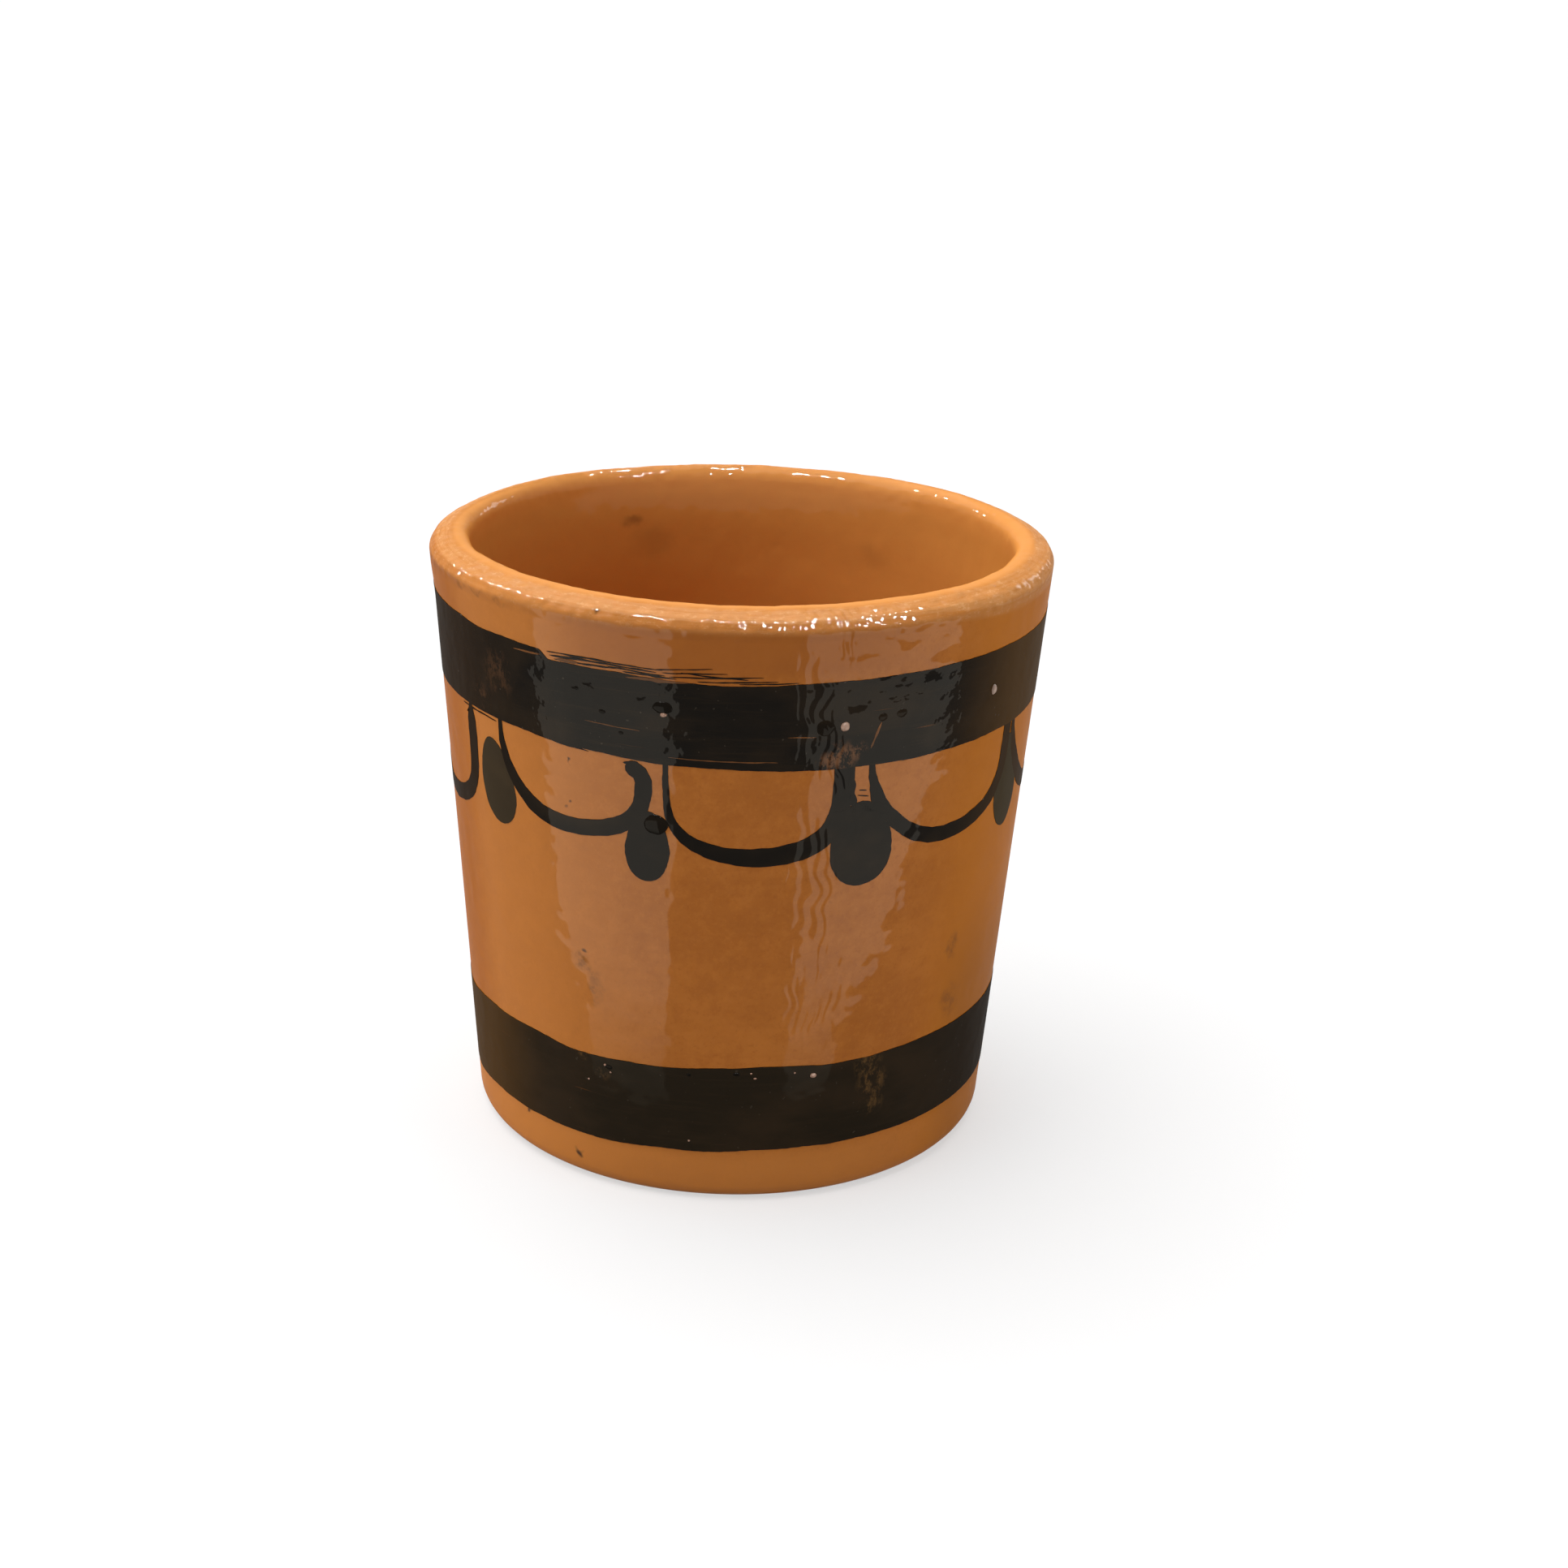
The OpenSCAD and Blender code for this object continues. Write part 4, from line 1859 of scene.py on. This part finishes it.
@dataclass
class BrushWork:
    """All the painted decoration of the cup.

    Attributes:
        wall: Wall that carries it.
        clay: Finish of the clay below it.
        strokes: Number of scallops, and of drops.
        watery: Strokes that were laid on with thin slip.
        free_from: Angles in degrees past which a stroke ends short of the band.
        upper_edges: Lower and upper edge of the band below the lip.
        lower_edges: Lower and upper edge of the band above the foot.
        streaks: Lines that the drying brush left over the upper band.
        dabs: Short brush marks that square or spread a stroke.
        missed: Thin lines of clay that the brush missed or scratched open.
        blobs: Blobs of slip.
        grains: Pale grains in the glaze, partly painted glints.
    """

    wall: Wall
    clay: ClayFinish
    strokes: int = 9
    watery: tuple[str, ...] = ("drop_1", "drop_4", "drop_7")
    free_from: dict[str, float] = field(default_factory=lambda: {"scallop_1": -25.0})
    upper_edges: tuple[BrushEdge, BrushEdge] = (
        BrushEdge((
            (-150.0, 0.4), (-110.0, 0.9), (-64.0, 1.1), (-48.0, 1.05), (-30.0, 0.5), (-10.0, 0.0),
            (16.0, -0.3), (30.0, -0.25), (50.0, 0.1), (90.0, 0.4), (130.0, -0.1), (170.0, 0.1),
        ), 1.0),
        BrushEdge((
            (-160.0, 0.3), (-110.0, 1.0), (-62.0, 1.55), (-52.0, 1.1), (-37.0, 1.0), (-34.5, -0.2),
            (-22.0, -0.15), (-15.5, -0.35), (-10.0, -0.6), (-4.0, -0.8), (2.0, -0.65), (20.0, -0.3),
            (45.0, 0.0), (60.0, 0.1), (100.0, 0.5), (140.0, 0.1),
        ), 2.0, 0.08),
    )
    lower_edges: tuple[BrushEdge, BrushEdge] = (
        BrushEdge((
            (-150.0, 0.2), (-100.0, -0.9), (-78.0, -1.5), (-58.0, -0.5), (-30.0, -0.5), (-10.0, 0.05),
            (10.0, 0.5), (55.0, 0.45), (100.0, 0.1), (150.0, 0.4),
        ), 6.0),
        BrushEdge((
            (-150.0, 0.1), (-100.0, -0.6), (-78.0, -1.3), (-60.0, -0.1), (-45.0, 0.0), (-32.0, -0.6),
            (-18.0, -0.35), (0.0, 0.25), (8.0, 0.55), (20.0, 0.1), (50.0, 0.6), (90.0, 0.2),
            (140.0, 0.5),
        ), 9.0),
    )
    streaks: tuple[Sliver, ...] = (
        Sliver(-35.0, -23.0, 80.5, 80.75, 0.24),
        Sliver(-29.0, -13.0, 80.75, 80.45, 0.2),
        Sliver(-34.5, -25.5, 80.05, 80.35, 0.3),
        Sliver(-28.0, -14.0, 80.45, 80.1, 0.24),
        Sliver(-33.5, -21.0, 79.65, 79.95, 0.26),
        Sliver(-23.0, -12.5, 80.05, 79.7, 0.22),
        Sliver(-20.0, -10.5, 79.65, 79.45, 0.3),
        Sliver(-14.5, -4.5, 80.4, 81.15, 0.14),
        Sliver(-13.0, -2.0, 80.15, 80.55, 0.17),
        Sliver(-11.8, 4.0, 79.65, 80.15, 0.2),
        Sliver(-9.8, 1.5, 80.3, 79.8, 0.2),
        Sliver(-7.0, 6.5, 79.3, 79.6, 0.2),
        Sliver(0.0, 10.0, 79.15, 79.35, 0.17),
        Sliver(-62.0, -49.5, 67.9, 67.75, 0.25),
        Sliver(-35.0, -27.0, 67.85, 67.45, 0.22),
    )
    dabs: dict[str, tuple[Sliver, ...]] = field(default_factory=lambda: {
        "drop_3": (
            Sliver(17.4, 28.6, 60.35, 58.9, 3.1),
            Sliver(21.0, 28.7, 61.2, 60.4, 1.5),
            Sliver(20.3, 21.6, 66.2, 59.8, 1.3),
            Sliver(19.8, 21.1, 61.3, 60.8, 1.0),
            Sliver(24.2, 25.3, 67.0, 60.8, 1.0),
            Sliver(21.9, 24.1, 62.7, 62.4, 0.28),
            Sliver(22.1, 23.6, 63.5, 63.35, 0.15),
        ),
        "scallop_1": (
            Sliver(-20.3, -17.6, 66.75, 66.95, 0.6),
        ),
    })
    missed: tuple[Sliver, ...] = (
        Sliver(-19.5, -8.5, 78.95, 79.05, 0.45),
        Sliver(-43.0, -36.5, 79.5, 79.75, 0.28),
        Sliver(-33.0, -28.5, 79.75, 79.8, 0.5),
        Sliver(-27.5, -17.0, 71.9, 71.6, 0.14),
        Sliver(-12.0, 7.0, 68.3, 68.2, 0.16),
        Sliver(8.5, 13.5, 71.7, 71.6, 0.16),
        Sliver(25.4, 23.7, 73.0, 69.4, 0.42),
    )
    blobs: tuple[Bead, ...] = (
        Bead(-14.3, 58.4, 3.3, 3.0, 0.3),
        Bead(-12.9, 75.3, 2.8, 1.8, 0.32),
        Bead(15.0, 72.9, 2.4, 2.4, 0.24),
        Bead(25.6, 73.7, 1.5, 1.2, 0.2),
        Bead(29.4, 73.9, 1.8, 1.3, 0.2),
        Bead(-24.0, 73.6, 1.1, 0.7, 0.16),
        Bead(-29.0, 76.2, 0.9, 0.6, 0.14),
        Bead(-20.5, 71.0, 0.8, 0.6, 0.14),
        Bead(-25.0, 19.6, 1.3, 0.8, 0.2),
        Bead(1.5, 20.9, 1.1, 0.6, 0.2),
        Bead(-8.0, 20.4, 0.8, 0.5, 0.16),
    )
    # Pale grains in the glaze, partly painted glints.
    grains: tuple[Bead, ...] = (
        Bead(18.55, 72.9, 1.25, 1.3, 0.6),
        Bead(52.1, 73.9, 0.95, 1.5, 0.5),
        Bead(17.1, 20.1, 0.95, 0.8, 0.35),
        Bead(-12.8, 74.3, 0.9, 0.7, 0.4),
        Bead(-25.8, 19.8, 0.4, 0.4, 0.22),
        Bead(-24.6, 18.8, 0.35, 0.3, 0.2),
        Bead(-29.8, 16.8, 0.35, 0.3, 0.2),
        Bead(5.2, 20.2, 0.5, 0.3, 0.22),
        Bead(4.4, 21.0, 0.35, 0.3, 0.2),
        Bead(13.2, 20.8, 0.3, 0.3, 0.2),
        Bead(-7.9, 9.7, 0.35, 0.35, 0.2),
    )

    def build(self) -> None:
        """Paint the bands, the scallops and the drops, and set the beads."""
        paints = {finish.paint: finish.material() for finish in self._finishes()}
        BrushBand("upper_band", self.wall, paints[Paint.UPPER], *self.upper_edges, self.streaks).build()
        BrushBand("lower_band", self.wall, paints[Paint.LOWER], *self.lower_edges).build()
        band_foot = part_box("upper_band")[0].z
        for kind in ("scallop", "drop"):
            for number in range(1, self.strokes + 1):
                node = f"{kind}_{number}"
                paint = paints[Paint.WATERY if node in self.watery else Paint.STROKE]
                stroke = BrushStroke(node, self.wall, paint, band_foot)
                stroke.free_from = self.free_from.get(node, stroke.free_from)
                stroke.dabs = self.dabs.get(node, ())
                stroke.build()
        self._missed_lines(paints[Paint.VEIL])
        self._beads("slip_blobs", self.blobs, paints[Paint.BEAD])
        self._beads("clay_grains_and_glints", self.grains, paints[Paint.GRAIN])

    def _finishes(self) -> tuple[SlipFinish, ...]:
        """Mix the paints.

        Returns:
            The finish of each paint.
        """
        return (
            SlipFinish(
                Paint.UPPER, self.clay,
                # Paler right side of the band: partly thinner slip, partly painted light.
                right=(0.085, 0.04, 0.008, 1.0),
                lumps=0.08 * MM,
                worn=(
                    Smudge(18.3, 68.5, 43.75, 3.0, 0.75),
                    Smudge(15.6, 67.9, 43.7, 1.8, 0.6),
                    Smudge(21.4, 69.3, 43.8, 1.7, 0.6),
                    Smudge(-48.0, 75.0, 44.2, 4.5, 0.2),
                    Smudge(-54.0, 70.5, 43.9, 3.0, 0.2),
                ),
            ),
            SlipFinish(
                Paint.LOWER, self.clay,
                thick=(0.019, 0.0115, 0.004, 1.0),
                thin=(0.032, 0.018, 0.007, 1.0),
                # Side colours: partly thinner slip, partly painted light and reflection.
                left=(0.078, 0.034, 0.004, 1.0),
                right=(0.02, 0.01, 0.002, 1.0),
                scrape=(0.17, 0.085, 0.026, 1.0),
                bare=0.35,
                coat=0.06,
                coat_roughness=0.08,
                worn=(
                    Smudge(29.2, 20.6, 40.1, 3.0, 0.65),
                    Smudge(30.6, 17.4, 39.9, 3.2, 0.75),
                    Smudge(31.0, 13.9, 39.6, 2.6, 0.55),
                    Smudge(-26.5, 18.4, 39.9, 1.6, 0.4),
                    Smudge(-31.0, 20.6, 40.1, 1.2, 0.6),
                ),
            ),
            SlipFinish(Paint.STROKE, self.clay, bare=0.0),
            SlipFinish(
                Paint.WATERY, self.clay,
                thick=(0.04, 0.026, 0.012, 1.0),
                thin=(0.06, 0.038, 0.017, 1.0),
                # Side colours: partly thinner slip, partly painted light and reflection.
                left=(0.058, 0.037, 0.016, 1.0),
                right=(0.06, 0.04, 0.016, 1.0),
                bare=0.0,
            ),
            SlipFinish(Paint.BEAD, self.clay, bare=0.0, coat=0.04),
            # Pale grain finish, partly painted glints of the glaze.
            SlipFinish(
                Paint.GRAIN, self.clay,
                thick=(0.42, 0.22, 0.14, 1.0),
                thin=(0.6, 0.4, 0.3, 1.0),
                right=(0.6, 0.45, 0.36, 1.0),
                bare=0.0,
                coat=0.3,
            ),
            SlipFinish(
                Paint.VEIL, self.clay,
                thick=(0.15, 0.06, 0.02, 1.0),
                thin=(0.32, 0.12, 0.035, 1.0),
                left=(0.2, 0.08, 0.025, 1.0),
                bare=0.0,
            ),
        )

    def _missed_lines(self, finish: Material) -> None:
        """Lay the thin lines of clay that the brush missed or scratched open.

        Args:
            finish: Material of the lines.
        """
        lines = Bench.gather("missed_lines", [
            line.build(f"missed_line_{number}", self.wall, 0.6 * self.wall.slip)
            for number, line in enumerate(self.missed, 1)
        ])
        lines.thicken(self.wall.slip)
        lines.smooth(40.0)
        lines.dress(finish)
        hand_in(lines.piece)

    def _beads(self, name: str, beads: Sequence[Bead], finish: Material) -> None:
        """Press the beads of one kind onto the wall as one piece.

        Args:
            name: Name of the piece.
            beads: Beads that it holds.
            finish: Material of the beads.
        """
        pressed = Bench.gather(name, [
            bead.build(f"{name}_{number}", self.wall) for number, bead in enumerate(beads, 1)
        ])
        pressed.smooth(60.0)
        pressed.dress(finish)
        hand_in(pressed.piece)


def hang(light: Light, place: Vector, aim: Vector) -> Object:
    """Hang a light and turn it to a point.

    Args:
        light: The light.
        place: Where it hangs.
        aim: Point that it shines at.

    Returns:
        The lamp.
    """
    lamp = bpy.data.objects.new(light.name, light)
    lamp.location = place
    lamp.rotation_mode = "QUATERNION"
    lamp.rotation_quaternion = (aim - place).to_track_quat("-Z", "Y")
    bpy.context.scene.collection.objects.link(lamp)
    return lamp


@dataclass(frozen=True)
class Panel:
    """A square lamp that shines at the axis of the cup.

    Attributes:
        name: Name of the lamp.
        place: Where it hangs.
        aim: Height of the point that it shines at.
        side: Length of its side.
        power: Power in watts.
    """

    name: str
    place: Sequence[float]
    aim: float
    side: float
    power: float

    def hung(self) -> Object:
        """Make the lamp and hang it.

        Returns:
            The lamp.
        """
        panel = bpy.data.lights.new(self.name, "AREA")
        panel.shape = "RECTANGLE"
        panel.size = self.side
        panel.size_y = self.side
        panel.energy = self.power
        return hang(panel, Vector(self.place), Vector((0.0, 0.0, self.aim)))


@dataclass
class Studio:
    """A pale floor in a white room, soft light and the camera of the photograph.

    Attributes:
        eye: Place of the camera.
        aim: Point that the camera looks at.
        roll: Turn of the camera about its own axis in degrees.
        lens: Focal length in millimetres.
        sensor: Width of the sensor in millimetres.
        floor_size: Half the side of the floor.
        floor_rings: Distances from the axis where the floor stops being near and starts being far.
        near_floor: Share of the light that the floor gives back beside the cup.
        far_floor: Share of the light that it gives back further away.
        floor_light: Light on the floor, as the brightness of a white one.
        left_card: Corners of the card that gleams on the left of the glaze, in millimetres.
        right_card: Corners of the card that gleams on the right of the glaze, in millimetres.
        card_z: Height of the cards above the floor.
        card_colour: Colour of the cards.
        card_rings: Distances from the axis between which the cards get brighter.
        card_glow: Brightness of the cards at these distances.
        sky_place: Direction of the wide soft light.
        sky_power: Strength of the wide soft light.
        sky_degrees: How wide it is.
        soft_lights: Soft lamps at the sides, which don't show in the gloss.
        window: Lamp that shows only in the gloss, as a window behind the cup would.
        glints: Angles round the lip where small lamps glint, and the tilt of the glaze there.
        glint_radius: Distance from the axis where they glint.
        glint_z: Height where they glint.
        glint_reach: Distance of these lamps from the lip.
        glint_side: Length of their sides.
        glint_power: Power of each of these lamps.
        room_front: Brightness of the room in front of the cup.
        room_back: Brightness of the room behind it.
    """

    eye: Sequence[float] = (0.0, -0.34489, 0.17631)
    aim: Sequence[float] = (0.00711, 0.0, 0.04928)
    roll: float = 1.939
    lens: float = 56.12
    sensor: float = 36.0
    floor_size: float = 20.0
    floor_rings: Span = (0.07, 0.22)
    near_floor: float = 0.4
    far_floor: float = 0.32
    floor_light: float = 1.12
    left_card: tuple[Span, ...] = (
        (-18.0, -58.0), (-23.0, -68.0), (-43.0, -110.0), (-58.0, -143.0), (-84.0, -196.0),
        (-105.0, -235.0), (-262.0, -70.0), (-200.0, -57.0), (-127.0, -53.0), (-101.0, -48.0),
        (-66.0, -56.0), (-42.0, -46.0),
    )
    right_card: tuple[Span, ...] = (
        (18.0, -60.0), (24.0, -72.0), (34.0, -84.0), (48.0, -106.0), (68.0, -148.0), (92.0, -200.0),
        (108.0, -235.0), (262.0, -26.0), (200.0, -30.0), (155.0, -49.0), (125.0, -60.0), (96.0, -59.0),
        (70.0, -66.0), (46.0, -66.0), (32.0, -56.0),
    )
    card_z: float = 0.4 * MM
    card_colour: Colour = (1.0, 0.95, 0.85, 1.0)
    card_rings: Span = (0.058, 0.1)
    card_glow: Span = (1.8, 4.7)
    sky_place: Sequence[float] = (-0.34, 0.22, 1.0)
    sky_power: float = 3.4
    sky_degrees: float = 80.0
    soft_lights: tuple[Panel, ...] = (
        Panel("left_soft_light", (-0.53, -0.36, 0.28), 0.05, 0.4, 1.1),
        Panel("right_soft_light", (0.56, -0.27, 0.14), 0.05, 0.24, 1.0),
    )
    window: Panel = Panel("window_light", (0.79, 0.87, 0.45), 0.08, 0.35, 4.0)
    glints: tuple[Span, ...] = (
        (-58.0, 42.0), (-45.0, 48.0), (-18.0, 42.0), (-11.0, 46.0), (3.0, 50.0), (6.0, 34.0),
        (19.5, 42.0), (24.0, 36.0), (26.0, 60.0),
    )
    glint_radius: float = 44.5 * MM
    glint_z: float = 87.4 * MM
    glint_reach: float = 1.3
    glint_side: float = 0.1
    glint_power: float = 20.0
    room_front: float = 0.06
    room_back: float = 0.34

    def build(self) -> None:
        """Set up the floor, the cards, the lamps, the world and the camera."""
        self._floor()
        self._card("left_light_card", self.left_card)
        self._card("right_light_card", self.right_card)
        self._lamps()
        self._world()
        self._camera()
        bpy.context.scene.view_settings.view_transform = "Standard"

    def _floor(self) -> None:
        """Lay the floor, which looks evenly pale and keeps the shadow of the cup."""
        bpy.ops.object.select_all(action="DESELECT")
        bpy.ops.mesh.primitive_plane_add(size=2.0 * self.floor_size)
        floor = bpy.context.active_object
        floor.name = "pale_floor"
        sketch = Sketch("pale_floor")
        albedo = sketch.step(sketch.off_axis(), *self.floor_rings, self.near_floor, self.far_floor)
        cloud = sketch.step(sketch.grain(sketch.place, 3.0, 2.0), 0.2, 0.8, 0.98, 1.0)
        albedo = sketch.product(albedo, cloud)
        diffuse = sketch.node("ShaderNodeBsdfDiffuse")
        sketch.feed(diffuse.inputs["Color"], albedo)
        glow = sketch.node("ShaderNodeEmission")
        lack = sketch.math("MULTIPLY_ADD", albedo, -self.floor_light, 1.0)
        sketch.feed(glow.inputs["Strength"], sketch.product(sketch.shown(), lack))
        both = sketch.node("ShaderNodeAddShader")
        sketch.feed(both.inputs[0], diffuse.outputs[0])
        sketch.feed(both.inputs[1], glow.outputs[0])
        floor.data.materials.append(sketch.closed(both))

    def _card(self, name: str, outline: Sequence[Span]) -> None:
        """Lay a glowing card in front of the cup, for a soft gleam on the glaze.

        Args:
            name: Name of the card.
            outline: Corners of the card in millimetres.
        """
        mesh = bpy.data.meshes.new(name)
        corners = [(x * MM, y * MM, self.card_z) for x, y in outline]
        mesh.from_pydata(corners, [], [range(len(corners))])
        card = bpy.data.objects.new(name, mesh)
        bpy.context.scene.collection.objects.link(card)
        card.visible_camera = False
        card.visible_diffuse = False
        card.visible_shadow = False
        sketch = Sketch(name)
        glow = sketch.node("ShaderNodeEmission")
        sketch.feed(glow.inputs["Color"], self.card_colour)
        strength = sketch.step(sketch.off_axis(), *self.card_rings, *self.card_glow)
        sketch.feed(glow.inputs["Strength"], strength)
        mesh.materials.append(sketch.closed(glow))

    def _lamps(self) -> None:
        """Hang one wide soft light, two soft ones at the sides and small ones for the glints."""
        sky = bpy.data.lights.new("wide_soft_light", "SUN")
        sky.energy = self.sky_power
        sky.angle = math.radians(self.sky_degrees)
        hang(sky, Vector(self.sky_place), Vector(ZERO))
        for soft in self.soft_lights:
            soft.hung().visible_glossy = False
        for number, (degrees, tilt) in enumerate(self.glints, 1):
            place = self._mirrored(math.radians(degrees), math.radians(tilt))
            name = f"small_light_{number}"
            glint = Panel(name, place, self.window.aim, self.glint_side, self.glint_power)
            glint.hung().visible_diffuse = False
        self.window.hung().visible_diffuse = False

    def _mirrored(self, angle: float, tilt: float) -> Vector:
        """Find where a lamp hangs that glints on the lip.

        Args:
            angle: Angle round the cup where it glints.
            tilt: Angle of the glaze there above the horizontal.

        Returns:
            The place of the lamp.
        """
        place = around(angle, self.glint_radius, self.glint_z)
        facing = around(angle, math.cos(tilt), math.sin(tilt))
        view = (Vector(self.eye) - place).normalized()
        return place + (2.0 * facing.dot(view) * facing - view) * self.glint_reach

    def _world(self) -> None:
        """Light the room softly, less from the front than from the back, and show it as white."""
        world = bpy.data.worlds.new("soft_room")
        world.use_nodes = True
        board = Board(world.node_tree)
        room = world.node_tree.nodes["Background"]
        room.inputs["Color"].default_value = (1.0, 1.0, 1.0, 1.0)
        way = board.node("ShaderNodeSeparateXYZ")
        board.feed(way.inputs[0], board.node("ShaderNodeTexCoord").outputs["Generated"])
        middle = (self.room_back + self.room_front) / 2.0
        level = board.math("MULTIPLY_ADD", way.outputs["Y"], self.room_back - middle, middle)
        board.feed(room.inputs["Strength"], board.most(level, board.shown()))
        bpy.context.scene.world = world

    def _camera(self) -> None:
        """Stand the camera where the photograph was taken."""
        data = bpy.data.cameras.new("photo_camera")
        data.sensor_fit = "HORIZONTAL"
        data.sensor_width = self.sensor
        data.lens = self.lens
        data.clip_start = 0.01
        data.clip_end = 100.0
        camera = bpy.data.objects.new("photo_camera", data)
        camera.location = self.eye
        camera.rotation_mode = "QUATERNION"
        level = (Vector(self.aim) - Vector(self.eye)).to_track_quat("-Z", "Y")
        camera.rotation_quaternion = level @ Quaternion((0.0, 0.0, 1.0), math.radians(self.roll))
        bpy.context.scene.collection.objects.link(camera)
        bpy.context.scene.camera = camera


def main() -> None:
    """Build the cup piece by piece and set up the studio."""
    logging.basicConfig(level=logging.INFO, format="%(message)s")
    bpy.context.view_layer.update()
    wall = Wall.from_frame()
    clay = ClayFinish()
    ThrownBody(wall, clay).build()
    BrushWork(wall, clay).build()
    Studio().build()


if __name__ == "__main__":
    main()
